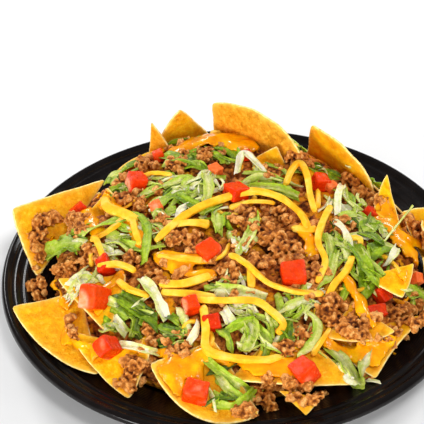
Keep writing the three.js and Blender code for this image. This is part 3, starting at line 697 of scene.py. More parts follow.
class Course:
    """The line that a strip follows: a smooth line over what lies under it,
    which bridges hollows as a stiff strip does, or a free line in the air."""

    def __init__(self, line, lift):
        rough = [Vector(p) for p in line]
        self.free = len(rough[0]) == 3
        if self.free:
            self.points = rough
            return
        steps = max(4, int(length_of(rough) / COURSE_STEP))
        self.flat = [along(rough, k / steps) for k in range(steps + 1)]
        up = [up_at(*p) for p in self.flat]
        for _ in range(COURSE_EASE):
            eased = [(up[max(0, k - 1)] + 2 * up[k] + up[min(steps, k + 1)]) / 4 for k in range(steps + 1)]
            up = [max(pair) if k % 2 else pair[1] for k, pair in enumerate(zip(up, eased))]
        lifts = [lift * (END_LIFT + MORE_LIFT * sin(pi * k / steps)) for k in range(steps + 1)]
        self.points = [over_plate(on_heap(*p, high) - forward * u)
                       for p, high, u in zip(self.flat, lifts, up)]

    def at(self, t):
        """The point, the direction ahead, the side and the upward direction."""
        p = along(self.points, t)
        ahead = along(self.points, min(1, t + LOOK)) - along(self.points, max(0, t - LOOK))
        ahead.normalize()
        if self.free:
            up = Vector(FREE_UP).normalized()
        else:
            up = dome_normal(*along(self.flat, t))
        side = ahead.cross(up).normalized()
        return p, ahead, side, side.cross(ahead)

    def sections(self):
        return max(STRIP_STEPS, int(length_of(self.points) / STRIP_STEP))


# %% [markdown]
# Diced tomato is cut with a knife, so its faces are nearly flat and its edges
# are crisp. One face is the glossy skin, and the others are wet flesh, paler
# where the dice was near the middle of the fruit. A cube is subdivided, swelled
# a little and roughened by noise.

# %% Tomato places
# x, y, width, depth, height, turn, lean x, lean y, lift, colour: 0 deep red,
# 0.5 bright red, 1 coral
TOMATOES = [
    (-54, 36, 9.5, 11, 9, 20, -10, 30, 3, 0.45), (-42, 61, 6, 6, 6, 10, 0, 0, 2, 0.6),
    (-43, 13, 7, 6, 5.5, 20, 10, -10, 1.5, 1.0), (-10, 40, 6.5, 6.5, 5, 40, 0, 10, 1.5, 1.0),
    (1, 20, 11, 11, 8, 35, -20, 10, 3, 0.4), (8, 52, 5, 5, 4.5, 20, 0, 0, 1.5, 0.5),
    (48, 31, 8.5, 8, 8, 15, 0, 15, 2, 0.45), (54, 28, 5.5, 5, 5, 40, 10, 0, 1.5, 1.0),
    (74, 11, 5.5, 6, 6, 30, 0, 20, 1.5, 0.2), (-15, -23, 10.5, 10, 6.5, 38, 8, 4, 3, 0.55),
    (29, -40, 12, 12, 10.5, 6, 0, 0, 4, 0.45), (-70, -22, 7, 9, 8.5, 10, 0, -15, 1, 0.25),
    (-75, -46, 11.5, 12, 15, -22, 12, -10, 10, 0.6), (-68, -75, 9, 9, 12.5, 22, -6, 0, 16, 0.4),
    (-25, -55, 8, 8, 9, 14, 0, 10, 2, 0.5), (-14, -65, 9, 8, 6, 10, 0, 0, 1.5, 0.2),
    (-23, -103, 12, 10, 11, -15, 14, 6, 15, 0.55), (32, -94, 11, 10, 12, 42, 26, 16, 16, 0.5),
    (76, -42, 7.5, 8, 6.5, 40, 5, 10, 2, 0.35), (72, -53, 10, 7, 7, 18, 0, -12, 2.5, 0.4),
    (-88, 33, 9, 6, 5, 20, 0, 0, 3, 0.5), (96, -25, 5.5, 6, 7, 15, 0, 0, 3, 0.9),
    (-30, 93, 10, 10, 9, 30, 0, 0, 0, 0.4), (14, 88, 11, 10, 9, 55, 0, 10, 0, 0.5),
]
PALE_SIDES = {1: (-1, -0.3, 0), 13: (-1, -0.6, 0.2), 15: (-0.9, -0.5, 0.3)}  # the way a pale face looks
TOMATO_CUTS = 9


# %% Tomato finish
def tomato_finish():
    f = Finish("tomato_flesh", Roughness=0.3, Subsurface_Weight=0.1, Subsurface_Scale=1.0,
               Subsurface_Radius=(0.003, 0.0008, 0.0004), Specular_IOR_Level=0.13)
    tone = f.ramp(f.attribute("tone"), (0.0, 0.54, 0.014, 0.001), (0.35, 0.80, 0.036, 0.001),
                  (0.6, 0.90, 0.062, 0.002), (1.0, 0.96, 0.20, 0.04))
    grain = f.ramp(f.noise(2.0, 4, 0.6), (0.35, 0.80, 0.74, 0.7), (0.65, 1, 1, 1))
    base = f.mix(1.0, tone, grain, "MULTIPLY")
    base = f.mix(f.range(f.noise(1.3, 2), 0.62, 0.72, 0, 0.35), base, (0.95, 0.26, 0.08))
    pale = f.ramp(f.noise(3, 3), (0.35, 0.98, 0.36, 0.13), (0.65, 1.0, 0.62, 0.40))
    f.colour(f.mix(f.attribute("pale"), base, pale))
    f.roughness(2.5, 3, 0.18, 0.42)
    f.bump(f.noise(1.1, 4, 0.7), 0.6, 0.5)
    return f.material


tomato_flesh = tomato_finish()


def pose_of(x, y, turn, lean_x, lean_y):
    """A turn that stands a piece on the heap and then leans it."""
    up = Vector((0, 0, 1)).rotation_difference(dome_normal(x, y)).to_matrix()
    a, b, c = (Euler([radians(angle) * (axis == k) for k in range(3)]).to_matrix()
               for axis, angle in enumerate((lean_x, lean_y, turn)))
    return up @ (a @ b @ c)


def make_tomato(number, row):
    x, y, w, d, h, turn, lean_x, lean_y, lift, tone = row
    bm = bmesh.new()
    bmesh.ops.create_cube(bm, size=2)
    bmesh.ops.subdivide_edges(bm, edges=bm.edges, cuts=TOMATO_CUTS, use_grid_fill=True)
    tones, pales = (bm.verts.layers.float.new(key) for key in ("tone", "pale"))
    pose = pose_of(x, y, turn, lean_x, lean_y)
    centre = Vector((x, y, dome(x, y) + lift))
    for v in bm.verts:
        n = v.co.copy()
        # edges and corners are drawn in, and faces swell
        corner = blend(0.8, 1.0, sorted(abs(k) for k in n)[1])
        ease = 1 - 0.025 * corner - 0.03 * blend(0.8, 1, min(abs(k) for k in n))
        p = n * ease * (1 + 0.03 * (1 - corner))
        # no cut is quite straight
        p += Vector([0.17 * noise.noise(n * 0.8 + Vector((number * 3.1, k * 7, 0))) for k in (1, 2, 3)])
        p = pose @ Vector((p.x * w / 2, p.y * d / 2, p.z * h / 2)) + centre
        v.co = p + 0.25 * Vector([wobble(p, 2.2, k * 9) for k in (1, 2, 3)])
        # the upward face is painted a little brighter, a painted top light on the dice
        side = abs(n.z) if n.z > 0.9 else 0
        v[tones] = clamp(tone + 0.18 * wobble(p, 5, number) + 0.10 * side - 0.05, 0, 1)
        if number in PALE_SIDES:
            seen = (pose @ n.normalized()).dot(Vector(PALE_SIDES[number]).normalized())
            v[pales] = blend(0.66, 0.90, seen) * 0.7
        else:
            v[pales] = 0.25 * blend(0.35, 0.6, wobble(p, 6, number + 2))
    outward(bm)
    piece = show(f"tomato_dice_{number}", in_metres(bm), "tomato_flesh", f"tomato_{number}", tomato_flesh)
    soften(piece)
    return piece


tomatoes = [make_tomato(i + 1, row) for i, row in enumerate(TOMATOES)]
print("tomato dice made:", len(tomatoes))

# %% [markdown]
# Ground beef breaks into knobbly nuggets. Each is a heart with granules packed
# round it at the golden angle, every granule a small ball that is pushed in
# and out. All of them are fused into one skin, which is then thinned. How far
# each point of the skin stands out of its surroundings is kept for the colour,
# which gets painted shade in the creases and a painted highlight on the knobs.

# %% Beef places
# x, y, radius of the clump, how full it is
BEEF = [
    (-108, 52, 5.5, 1.7), (-104, 57, 5.5, 1.7), (-98, 58, 5.5, 1.7), (-110, 43, 5.5, 1.8),
    (-109, 33, 5.5, 1.7), (-87, 20, 6, 1.6), (-86, 9, 6, 1.4), (-105, 14, 6, 1.5), (-104, 24, 5, 1.2),
    (-89, 27, 4, 2), (-108, -8, 4, 2.6), (-104, -15, 4.5, 2.6), (-110, -9, 4, 2.4), (-60, 22, 10, 1.1),
    (-42, 35, 8, 1.0), (-30, 49, 8, 1.1), (-20, 54, 8, 1.0), (-27, -14, 9, 1.2), (-17, -20, 8, 0.9),
    (-40, 2, 8, 0.9), (-75, -9, 7, 0.9), (38, 52, 6, 1.2), (39, 45, 6, 1.1), (34, 57, 4, 1.1),
    (71, 36, 6, 1.3), (75, 27, 6, 1.3), (2, 0, 9, 1.1), (12, -7, 9, 1.2), (20, -17, 9, 1.3),
    (28, -23, 8, 1.3), (4, -12, 8, 1.1), (36, -30, 7, 1.1), (58, -2, 8, 1.0), (104, 30, 9, 1.2),
    (101, 20, 8, 1.0), (-79, -14, 6, 1.0), (-89, -13, 5, 0.9), (-97, -12, 4, 0.9), (-84, -47, 6, 1.0),
    (-39, -34, 10, 1.1), (-49, -66, 8, 1.0), (-39, -73, 8, 1.1), (-28, -74, 8, 1.0), (-54, -80, 7, 2.6),
    (13, -30, 9, 1.2), (32, -47, 9, 1.0), (43, -34, 7, 1.0), (46, -53, 8, 1.5), (52, -57, 8, 1.8),
    (57, -63, 7, 1.7), (66, -59, 7, 1.7), (74, -59, 6, 1.7), (62, -54, 7, 1.3), (83, -51, 7, 1.9),
    (88, -46, 6, 2), (93, -40, 6, 2), (97, -36, 5, 2), (26, -74, 9, 1.1), (35, -72, 6, 0.9),
    (67, -80, 5, 0.9), (10, -97, 8, 1.4), (3, -98, 7, 1.3), (13, -95, 6, 1.3), (22, -94, 6, 1.6),
    (30, -92, 5, 1.5), (37, -91, 5, 1.2), (-7, -35, 8, 0.9), (-59, -21, 8, 0.9), (8, 10, 8, 0.8),
    (24, 6, 8, 0.8), (18, 38, 8, 0.9), (-8, 58, 8, 0.8), (60, 44, 5, 0.9), (-64, 46, 8, 0.9),
    (-46, 60, 8, 0.9), (0, 88, 9, 1.0), (46, 86, 6, 0.8), (-28, 72, 9, 0.9), (-2, -50, 8, 0.8),
]


# %% Beef finish
def beef_finish():
    f = Finish("beef_brown", Roughness=0.5, Specular_IOR_Level=0.16)
    f.colour(beef_colour_and_painted_shade(f, 0.9))
    f.roughness(2.0, 3, 0.38, 0.68)
    f.bump(f.plus(f.noise(1.1, 5, 0.75), f.noise(0.45, 2)), 0.9, 0.8)
    return f.material


# %% Beef
SMALL_GRAIN, LARGE_GRAIN = 0.6, 1.6  # radii of beef granules
SMALL_NUGGET, LARGE_NUGGET = 1.5, 3.7  # radii of nuggets
NUGGETS = 0.11  # how many of them stand on a square millimetre
NUGGET_LIFT = (0.3, 2.2)  # and how high, before the middle is heaped up
SQUAT = 0.72  # height of a granule or nugget for its width
BEEF_VOXEL = 0.55  # they are fused at this fineness
BEEF_KEPT = 0.36  # share of the faces that is kept
GOLDEN_TURN = 2.4  # radians from one granule to the next
RELIEF_SHADE_ROUNDS, RELIEF_SHADE_RISE = 6, 0.95  # how a knob is told from a crease for the painted shade, and how high it stands for the full painted highlight
CRUMB_GAP = 0.2  # crumbs stay this far above the plate


def add_lump(bm, centre, size, seed):
    """One granule: a ball that is turned, squeezed and pushed in and out."""
    turn = Euler((seed * 1.3, seed * 2.1, seed * 0.7)).to_matrix().to_4x4()
    made = bmesh.ops.create_icosphere(
        bm, subdivisions=2, radius=size,
        matrix=Matrix.Translation(centre) @ turn @ Matrix.Diagonal((1.3, 0.9, SQUAT, 1)))
    for v in made["verts"]:
        v.co += (v.co - centre) * (0.55 * wobble(v.co, size * 1.2, seed % 7))


def add_nugget(bm, heart, reach, draw):
    """Granules spread evenly over a squat ball, some further out than others."""
    add_lump(bm, heart, reach * 0.85, draw.uniform(0, 40))
    count, phase = int(4 + 1.7 * reach * reach), draw.uniform(0, tau)
    stretch = draw.uniform(1.0, 1.7)
    swing = Euler((draw.uniform(-0.6, 0.6), draw.uniform(-0.6, 0.6), draw.uniform(0, tau))).to_matrix()
    for k in range(count):
        rise = 1 - 2 * (k + 0.5) / count
        out, turn = sqrt(1 - rise * rise), phase + k * GOLDEN_TURN
        away = Vector((out * cos(turn), out * sin(turn), rise)) * reach * draw.uniform(0.6, 1.05)
        away = swing @ Vector((away.x * stretch, away.y, away.z * SQUAT))
        size = SMALL_GRAIN + (LARGE_GRAIN - SMALL_GRAIN) * draw.random() ** 2
        add_lump(bm, heart + away, size, draw.uniform(0, 40))
    return count


def fused(bm):
    """The granules melted into one skin, as a mesh in metres."""
    lumps = in_metres(bm)
    carrier = placed("unfused", lumps)
    melt = carrier.modifiers.new("melt", "REMESH")
    melt.mode, melt.voxel_size = "VOXEL", BEEF_VOXEL * MM
    carrier.modifiers.new("thin", "DECIMATE").ratio = BEEF_KEPT
    skin = bpy.data.meshes.new_from_object(carrier.evaluated_get(bpy.context.evaluated_depsgraph_get()))
    bpy.data.objects.remove(carrier)
    bpy.data.meshes.remove(lumps)
    return skin


def mark_relief_shade(mesh):
    """Marks each vertex 1 where the skin stands out, for a painted highlight, and 0 in a crease, for painted
    shade.
    """
    count = len(mesh.vertices)
    co, normal = np.empty(count * 3), np.empty(count * 3)
    mesh.vertices.foreach_get("co", co)
    mesh.vertices.foreach_get("normal", normal)
    co, normal = co.reshape(-1, 3), normal.reshape(-1, 3)
    ends = np.empty(len(mesh.edges) * 2, int)
    mesh.edges.foreach_get("vertices", ends)
    a, b = ends[0::2], ends[1::2]
    links = np.maximum(np.bincount(a, minlength=count) + np.bincount(b, minlength=count), 1)
    soft = co.copy()
    for _ in range(RELIEF_SHADE_ROUNDS):
        total = [np.bincount(a, soft[b, k], count) + np.bincount(b, soft[a, k], count) for k in range(3)]
        soft = np.stack(total, 1) / links[:, None]
    # the rise out of the smoothed skin sets the painted shade and the painted highlight
    rise = ((co - soft) * normal).sum(1) / (RELIEF_SHADE_RISE * MM)
    mesh.attributes.new("relief_shade", "FLOAT", "POINT").data.foreach_set("value", np.clip(0.5 + 0.5 * rise, 0, 1))


bm = bmesh.new()
draw = random.Random(41)
grains = 0
for x, y, r, full in BEEF:
    clump = bmesh.new()
    for _ in range(max(2, int(r * r * NUGGETS * full))):
        angle, away = draw.uniform(0, tau), r * sqrt(draw.random())
        lift = draw.uniform(*NUGGET_LIFT) * full * (1.3 - away / r)
        heart = seat(*beside(x, y, away, angle), lift)
        grains += add_nugget(clump, heart, draw.uniform(SMALL_NUGGET, LARGE_NUGGET), draw)
    into(bm, clump)
meat = fused(bm)
for v in meat.vertices:
    v.co = over_plate(v.co / MM, CRUMB_GAP) * MM
mark_relief_shade(meat)
show("beef_crumbs", meat, "beef_brown", "heap", beef_finish())
print("beef granules:", grains, "faces:", len(meat.polygons))

# %% [markdown]
# Melted cheese is a sheet draped over chips and bed. A grid covers the heap,
# and each of its points finds how deep the sauce is there: deepest along the
# middle of a run and nothing at its edge, with a wandering outline. Faces
# with no sauce are left out, and the sheet gets its underside from a solidify.

# %% Sauce places
# half width, thickness, then x and y of the points that a run passes over
SAUCE = [
    (8.5, 4, -28, 62, -20, 68, -8, 71, 2, 70, 8, 62), (5, 4.6, -18, 66, -7, 64, 3, 60),
    (4.5, 2, -83, 26, -79, 14, -76, 4), (4.8, 2.6, -71, 38, -70, 25, -64, 14, -57, 7, -53, -3, -51, -12),
    (5, 2.8, 80, 30, 83, 17, 85, 4, 90, -4, 96, -10), (5, 2.4, 76, 12, 82, 7, 90, 2, 98, 4, 108, 8),
    (4.5, 2.6, -97, -18, -93, -26, -90, -35), (4.5, 2.6, -89, -49, -83, -55, -77, -61, -72, -66),
    (4.6, 4, -45, -75, -41, -80, -37, -86, -32, -91), (4.2, 3.6, -38, -77, -33, -82, -27, -84, -21, -86),
    (4, 3, -50, -70, -46, -74), (4.6, 3, -20, -79, -10, -81, 0, -83, 10, -85, 20, -86, 30, -86),
    (4.5, 3.6, 44, -72, 50, -75, 60, -76), (6, 5, 64, -71, 70, -69, 77, -65), (4.5, 4, 66, -74, 72, -71),
    (5.5, 2.6, -41, -22, -33, -26, -25, -27, -18, -25), (3.5, 2.2, -36, -31, -25, -35, -14, -38),
    (5, 2.6, 35, -6, 38, -13, 40, -21), (5, 4.5, 57, -38, 60, -44, 62, -50, 65, -56),
    (4.5, 2.4, -104, 24, -100, 14), (3.5, 2, 42, 38, 50, 44), (7, 2.6, 2, 80, 14, 80, 26, 76),
    (5, 2.4, 62, 76, 72, 64), (6, 2.4, -60, 66, -50, 74, -40, 78), (4, 2, 88, -22, 90, -32, 86, -40),
    (3.5, 2, -62, -30, -70, -36, -74, -46),
]
SHEET_STEP = 1.0  # spacing of the sheet's points
SHEET_EASE = 4  # passes that smooth it
SHEET_T = 1.2  # its thickness where the sauce runs out
MARGIN = 4  # how far the sheet goes past the heap
TUCK = 1.0  # how far a sheet's edge dips under what it lies on
DRY = -0.98  # no sauce below this depth
RIM_REACH = 2  # near the rim of a chip, within this distance,
RIM_RISE, RIM_ENOUGH = 7, 11.2  # a step from the first to the second height
RIM_THIN = 5  # takes up to this much of the sheet's depth
SAG = 1.5  # the sheet hangs over what lies within this distance


# %% Sauce
def sauce_finish():
    f = Finish("cheese_sauce", Roughness=0.25, Subsurface_Weight=0.15, Subsurface_Scale=1.0,
               Subsurface_Radius=(0.004, 0.0015, 0.0002), Specular_IOR_Level=0.3)
    f.colour(f.ramp(f.noise(7, 4), (0.3, 0.84, 0.25, 0.0005), (0.5, 0.96, 0.35, 0.0007),
                    (0.7, 0.99, 0.51, 0.002)))
    f.roughness(6, 2, 0.10, 0.22)
    f.bump(f.noise(3.5, 3), 0.5, 1.0)
    return f.material


def sauce_depth(xs, ys):
    """How deep the sauce lies at each place, in millimetres, under 0 outside."""
    depth = np.full(xs.shape, -TUCK)
    for half, thick, *row in SAUCE:
        line = line_of(row)
        nearest = np.full(xs.shape, 1e9)
        for (ax, ay), (bx, by) in zip(line, line[1:]):
            length = (bx - ax) ** 2 + (by - ay) ** 2
            t = np.clip(((xs - ax) * (bx - ax) + (ys - ay) * (by - ay)) / length, 0, 1)
            nearest = np.minimum(nearest, np.hypot(xs - ax - t * (bx - ax), ys - ay - t * (by - ay)))
        inside = 1 - (nearest / half) ** 2
        depth = np.maximum(depth, thick * np.sign(inside) * np.sqrt(np.minimum(np.abs(inside), 1)))
    return depth


def sauce_at(x, y, depth):
    """The sheet's point over (x, y), or None where there is no sauce."""
    waves = 1 + 0.3 * wobble((x, y, 4), 8, 2) + 0.35 * wobble((x, y, 7), 4, 6) if depth > 0 else 1
    if DRY < depth and y < FAR_SIDE:
        wide = raised_round(x, y, RIM_REACH)
        depth -= RIM_THIN * blend(RIM_RISE, RIM_ENOUGH, max(wide) - min(wide))
    if depth <= DRY:
        return None
    around = [raise_at(x, y)] + raised_round(x, y, SAG)
    up = max(0, 0.5 * max(around) + 0.5 * sum(around) / len(around)) if y < FAR_SIDE else 0
    return over_plate(on_heap(x, y, depth * waves) - forward * up)


sheet_x, sheet_y = HEAP_RX + MARGIN, HEAP_RY + MARGIN
bm = bmesh.new()
grid(bm, int(2 * sheet_x / SHEET_STEP), int(2 * sheet_y / SHEET_STEP))
places = np.array([(v.co.x * sheet_x, v.co.y * sheet_y) for v in bm.verts])
# the outline wanders by slow and quick noise
shift = np.array([[3.4 * wobble((x, y, high), 9, slow) + 1.2 * wobble((x, y, high), 3.5, quick)
                   for high, slow, quick in ((0, 3, 5), (9, 6, 8))] for x, y in places])
dry = []
for v, place, depth in zip(bm.verts, places, sauce_depth(*(places + shift).T)):
    spot = sauce_at(*place, depth)
    if spot is None:
        dry.append(v)
    else:
        v.co = spot
bmesh.ops.delete(bm, geom=dry, context="VERTS")
for _ in range(SHEET_EASE):
    bmesh.ops.smooth_vert(bm, verts=bm.verts, factor=0.5, use_axis_x=True, use_axis_y=True, use_axis_z=True)
outward(bm)
facing(bm, Vector((0, 0, 1)))
sauce = show("cheese_sauce", in_metres(bm), "cheese_sauce", "heap", sauce_finish())
thicken(sauce, SHEET_T, -1)
print("sauce runs:", len(SAUCE), "faces:", len(sauce.data.polygons))

# %% [markdown]
# Iceberg and green leaf lettuce is cut in ribbons: thin, crinkled, pale and
# ribbed near the heart, green at the leaf's edge. Each ribbon is a grid that is
# laid along a smooth line, cupped, rippled and twisted, and then given its
# thickness.

# %% Lettuce places
# width, lift, green (0 white, 0.5 pale, 1 dark), twist in degrees, the points
LETTUCE = [
    (6, 3.5, 0.12, 10, -50, -35, -43, -46, -37, -60), (9, 2, 0.85, -20, -64, -40, -53, -51, -42, -61),
    (5, 3.5, 0.65, 30, -54, 10, -48, 0, -47, -12, -49, -26), (5, 2.5, 0.08, 0, -65, -52, -58, -63),
    (6, 1.5, 0.75, 20, -70, -52, -62, -60), (4, 1.5, 0.8, 0, -42, -62, -35, -66, -27, -68),
    (4, 3, 0.02, 40, -21, -64, -23, -70, -28, -75), (4, 1.5, 0.15, 0, -62, -66, -52, -70, -42, -75),
    (12, 3.5, 0.7, 25, -104, 12, -97, 2, -90, 0, -84, -4), (6, 3.5, 0.45, -20, -84, 3, -70, 5, -57, 6),
    (10, 1.5, 0.4, 20, -70, -3, -61, -9, -54, -15), (8, 2.5, 0.7, 20, -39, 60, -29, 50, -20, 46),
    (7, 1.5, 0.75, 0, -12, 62, -2, 58, 3, 51), (6, 3, 0.3, 0, -16, 39, -14, 25, -16, 11),
    (6, 3, 0.72, 20, -33, 22, -24, 13, -17, 9), (6, 2.5, 0.5, 30, -29, 25, -38, 17, -45, 7),
    (4.5, 2, 0.35, -10, -51, 24, -38, 30, -25, 35), (4, 4, 0.02, 0, 2, 36, 5, 51, 9, 49, 17, 37),
    (4, 2.5, 0.35, 20, 5, 29, 15, 33, 27, 30), (4, 3.5, 0.4, -20, 8, 25, 22, 23, 35, 18),
    (6, 3.5, 0.4, 30, 11, 4, 9, -9, 2, -23), (7, 2.5, 0.45, 10, -10, 6, -9, -7),
    (5, 3, 0.25, 20, 19, -60, 29, -55, 38, -51), (5, 3.5, 0.4, 40, 35, -58, 40, -65, 36, -74, 29, -79),
    (6, 1.5, 0.8, 0, 25, -63, 23, -74), (6, 3, 0.03, 20, -8, -58, -4, -66),
    (7, 1.5, 0.35, 0, 2, -59, 7, -69, 2, -79), (3, 2.5, 0.3, 60, 9, -68, 13, -76, 25, -80),
    (5, 2.5, 0.5, 30, -20, -79, -10, -87, 4, -95), (6, 1.5, 0.6, 20, -14, -98, -3, -99, 8, -94),
    (4, 4.5, 0.0, 10, 60, 31, 56, 18, 55, 4), (4, 3.5, 0.05, 0, 53, 0, 58, -9, 60, -18),
    (8, 2.5, 0.72, 20, 62, -14, 67, -29, 67, -46), (9, 2.5, 0.72, -20, 70, -20, 75, -15, 82, -10),
    (4, 4.5, 0.02, 30, 86, -9, 79, -24), (6, 2.5, 0.5, 30, 52, -20, 48, -35, 40, -46),
    (5, 1.5, 0.6, 20, 59, -37, 53, -50), (8, 2.5, 0.7, 10, 75, 9, 73, 0, 66, -5),
    (6, 2.5, 0.5, 20, 89, -36, 97, -31), (7, 3.5, 0.42, -20, 46, -75, 55, -82, 63, -91),
    (6, 3.5, 0.15, 60, 66, -69, 62, -76, 61, -83), (7, 2, 0.1, 20, -89, -26, -82, -23, -78, -28),
    (9, 2, 0.25, 10, -12, -46, 0, -50, 14, -53), (4, 2, 0.5, 20, 20, -49, 22, -60),
    (5, 1.5, 0.6, 0, -68, 37, -60, 33), (5, 1.5, 0.75, 0, 41, 43, 49, 42, 56, 37),
    (3, 2.5, 0.2, 0, 61, 30, 61, 17, 68, 11), (5, 1.5, 0.3, 20, -45, 2, -38, -4, -36, -12),
    (6, 2, 0.15, 30, -86, -30, -81, -26, -76, -30), (4, 3, 0.6, 20, 35, -44, 31, -50),
    (4, 3, 0.5, 0, 56, 3, 66, 6), (5, 2.5, 0.85, 0, 66, -6, 78, -10), (3, 2, 0.02, 20, 65, -86, 71, -91),
    (1.0, 3, 0.3, 20, (98, 14, 50), (89, 1, 49), (80, -11, 46)), (5, 2, 0.3, 10, -68, -42, -63, -46),
    (5, 2.5, 0.75, 40, 20, -66, 24, -71, 27, -74), (5, 2, 0.85, 0, 43, 42, 50, 46),
    (5, 3, 0.7, 30, -66, -48, -58, -56), (6, 2, 0.9, 10, -58, -46, -46, -56),
    (5, 2.5, 0.3, 10, 56, -14, 59, -26), (5, 2.5, 0.4, 0, 48, -10, 50, -24),
    (5, 2, 0.7, 0, -36, -58, -31, -62), (6, 2, 0.65, 10, -96, 14, -90, 6),
    (5, 2.5, 0.6, 30, -8, -70, 0, -66, 8, -64), (6, 2, 0.7, 10, -46, 78, -34, 80, -24, 80),
    (6, 2.5, 0.5, 10, 64, 76, 74, 66, 82, 54), (7, 2, 0.75, 0, -70, 50, -62, 60, -50, 68),
    (6, 2.5, 0.4, 0, 12, 78, 24, 82, 36, 80),
]
# Patches of scraps: x, y, radius, how many, the way they lie, green
ZONES = [
    (-92, 4, 10, 8, -40, 0.65), (-58, -52, 12, 18, -45, 0.6), (-62, -8, 9, 10, -30, 0.35),
    (-49, -8, 8, 9, -80, 0.5), (-24, 18, 14, 24, 20, 0.35), (-38, 30, 12, 22, 15, 0.35),
    (-26, 52, 11, 13, -20, 0.65), (-4, 56, 8, 9, -40, 0.65), (20, 28, 14, 22, -15, 0.32),
    (-14, 30, 10, 12, 60, 0.2), (4, -14, 8, 6, 70, 0.35), (-9, 4, 8, 8, 80, 0.35),
    (54, -18, 12, 22, -75, 0.45), (68, -28, 11, 20, -70, 0.5), (74, -6, 12, 18, -30, 0.5),
    (60, 14, 11, 14, -80, 0.2), (0, -50, 13, 16, -10, 0.25), (6, -68, 13, 20, -60, 0.38),
    (28, -64, 12, 18, 30, 0.42), (34, -52, 9, 9, 30, 0.3), (56, -82, 9, 7, -40, 0.35),
    (-6, -90, 11, 9, -25, 0.55), (-34, -66, 8, 8, -20, 0.6), (-82, -28, 7, 9, 20, 0.12),
    (95, -31, 4, 8, 40, 0.45), (46, 40, 8, 6, -20, 0.6), (-64, 34, 5, 9, -30, 0.62),
    (-40, 0, 9, 9, -60, 0.3), (-20, 84, 12, 8, 10, 0.6), (36, 84, 10, 7, 0, 0.5),
    (76, 66, 10, 7, -50, 0.55), (-66, 62, 12, 7, 40, 0.6), (-70, -20, 9, 6, -30, 0.3),
]
LEAF_T = 0.5  # thickness of a leaf


# %% Lettuce finish
def lettuce_finish():
    f = Finish("lettuce_green", Roughness=0.4, Subsurface_Weight=0.35, Subsurface_Scale=1.0,
               Subsurface_Radius=(0.002, 0.003, 0.0008), Specular_IOR_Level=0.2)
    leaf = f.plus(f.attribute("green"), f.range(f.noise(2.6, 5, 0.65), 0.3, 0.7, -0.17, 0.17))
    base = f.ramp(leaf, (0.0, 0.90, 0.88, 0.58), (0.18, 0.72, 0.74, 0.28), (0.36, 0.52, 0.60, 0.10),
                  (0.56, 0.34, 0.49, 0.014), (0.78, 0.16, 0.26, 0.005), (1.0, 0.055, 0.10, 0.003))
    vein = f.attribute("vein")
    f.colour(f.mix(f.range(vein, 0.55, 0.95, 0, 0.22), base, (0.72, 0.76, 0.28)))
    f.roughness(3, 3, 0.26, 0.5)
    f.bump(f.plus(f.noise(1.3, 3), vein), 0.7, 0.7)
    return f.material


def turned(side, up, angle):
    """Two directions turned together about the line that is square to both."""
    c, s = cos(angle), sin(angle)
    return side * c + up * s, up * c - side * s


# %% Lettuce
def add_leaf(bm, line, width, lift, green, twist, seed):
    """One ribbon of lettuce along a line: pleated lengthwise, rippled along
    its edges, twisted, and cut off at a slant."""
    rnd = random.Random(seed)
    course = Course(line, lift)
    part = bmesh.new()
    greens, veins = (part.verts.layers.float.new(key) for key in ("green", "vein"))
    n = course.sections()
    m = 3 if width < 2.6 else 4 if width < 4.5 else 6 if width < 7 else 8
    phase, pitch = rnd.uniform(0, 9), rnd.uniform(0.45, 0.9)
    cup, slant = rnd.uniform(-0.5, 1.3), rnd.uniform(-0.5, 0.5)
    pleats, depth = rnd.choice((1, 1.5, 2)), 0.09 * width * rnd.uniform(0.5, 1.1)
    spin = radians(twist * rnd.choice((-1, 1)))
    tilt = rnd.uniform(-0.35, 0.35)
    for v in grid(part, n, m):
        t, s = (v.co.x + 1) / 2, v.co.y
        p, ahead, side, up = course.at(t)
        side, up = turned(side, up, tilt + spin * sin(pi * (t * 1.3 + 0.1) + phase))
        w = width / 2 * (0.86 + 0.14 * sin(pi * t)) * (1 + 0.3 * wobble(p, 5, seed))
        fold = cos(pi * pleats * s + phase)
        ripple = (0.25 + 0.55 * abs(s)) * sin(t * n * pitch + phase + 1.9 * s)
        rise = depth * fold + cup * (s * s - 0.4) + ripple * (0.5 + 0.06 * width) + 0.8 * wobble(p, 8, seed)
        ends = slant * s * width * (1 if t > 0.5 else -1) * blend(0.25, 0.5, abs(t - 0.5))
        v.co = p + side * (s * w) + up * rise + ahead * ends
        v[greens] = clamp(green + 0.14 * (abs(s) - 0.5) + 0.34 * wobble((t * 1.8, s * 0.8, seed), 1.0), 0, 1)
        v[veins] = 0.5 + 0.5 * fold * sin(2 + 5 * s)
    into(bm, part)


def add_zone(bm, zone, seed):
    """A patch of loose scraps that mostly lie one way."""
    x, y, r, count, way, green = zone
    rnd = random.Random(seed)
    for k in range(count):
        angle, reach = rnd.uniform(0, tau), r * sqrt(rnd.random())
        cx, cy = beside(x, y, reach, angle)
        turn, half = radians(way + rnd.gauss(0, 34)), rnd.uniform(3.5, 9)
        bend = rnd.uniform(-0.5, 0.5)
        line = [beside(cx, cy, j * half, turn + j * bend) for j in (-1, 0, 1)]
        add_leaf(bm, line, 1.3 + 4 * rnd.random() ** 1.7, rnd.uniform(0.2, 2.6),
                 clamp(green + rnd.gauss(0, 0.24), 0, 1), rnd.uniform(-60, 60), seed * 50 + k)


bm = bmesh.new()
for i, (width, lift, green, twist, *row) in enumerate(LETTUCE):
    add_leaf(bm, line_of(row), width, lift + 0.4, green, twist, 100 + i)
for i, zone in enumerate(ZONES):
    add_zone(bm, zone, 20 + i)
outward(bm)
lettuce = show("lettuce_shreds", in_metres(bm), "lettuce_green", "heap", lettuce_finish())
thicken(lettuce, LEAF_T)
sharpen(lettuce, 80)
print("lettuce ribbons:", len(LETTUCE) + sum(z[3] for z in ZONES), "faces:", len(lettuce.data.polygons))

# %% [markdown]
# Shredded cheese comes off a grater as a soft strand with a rounded square
# section. A grid is rolled into a tube along a smooth line; the seam is merged
# and the ends are closed.

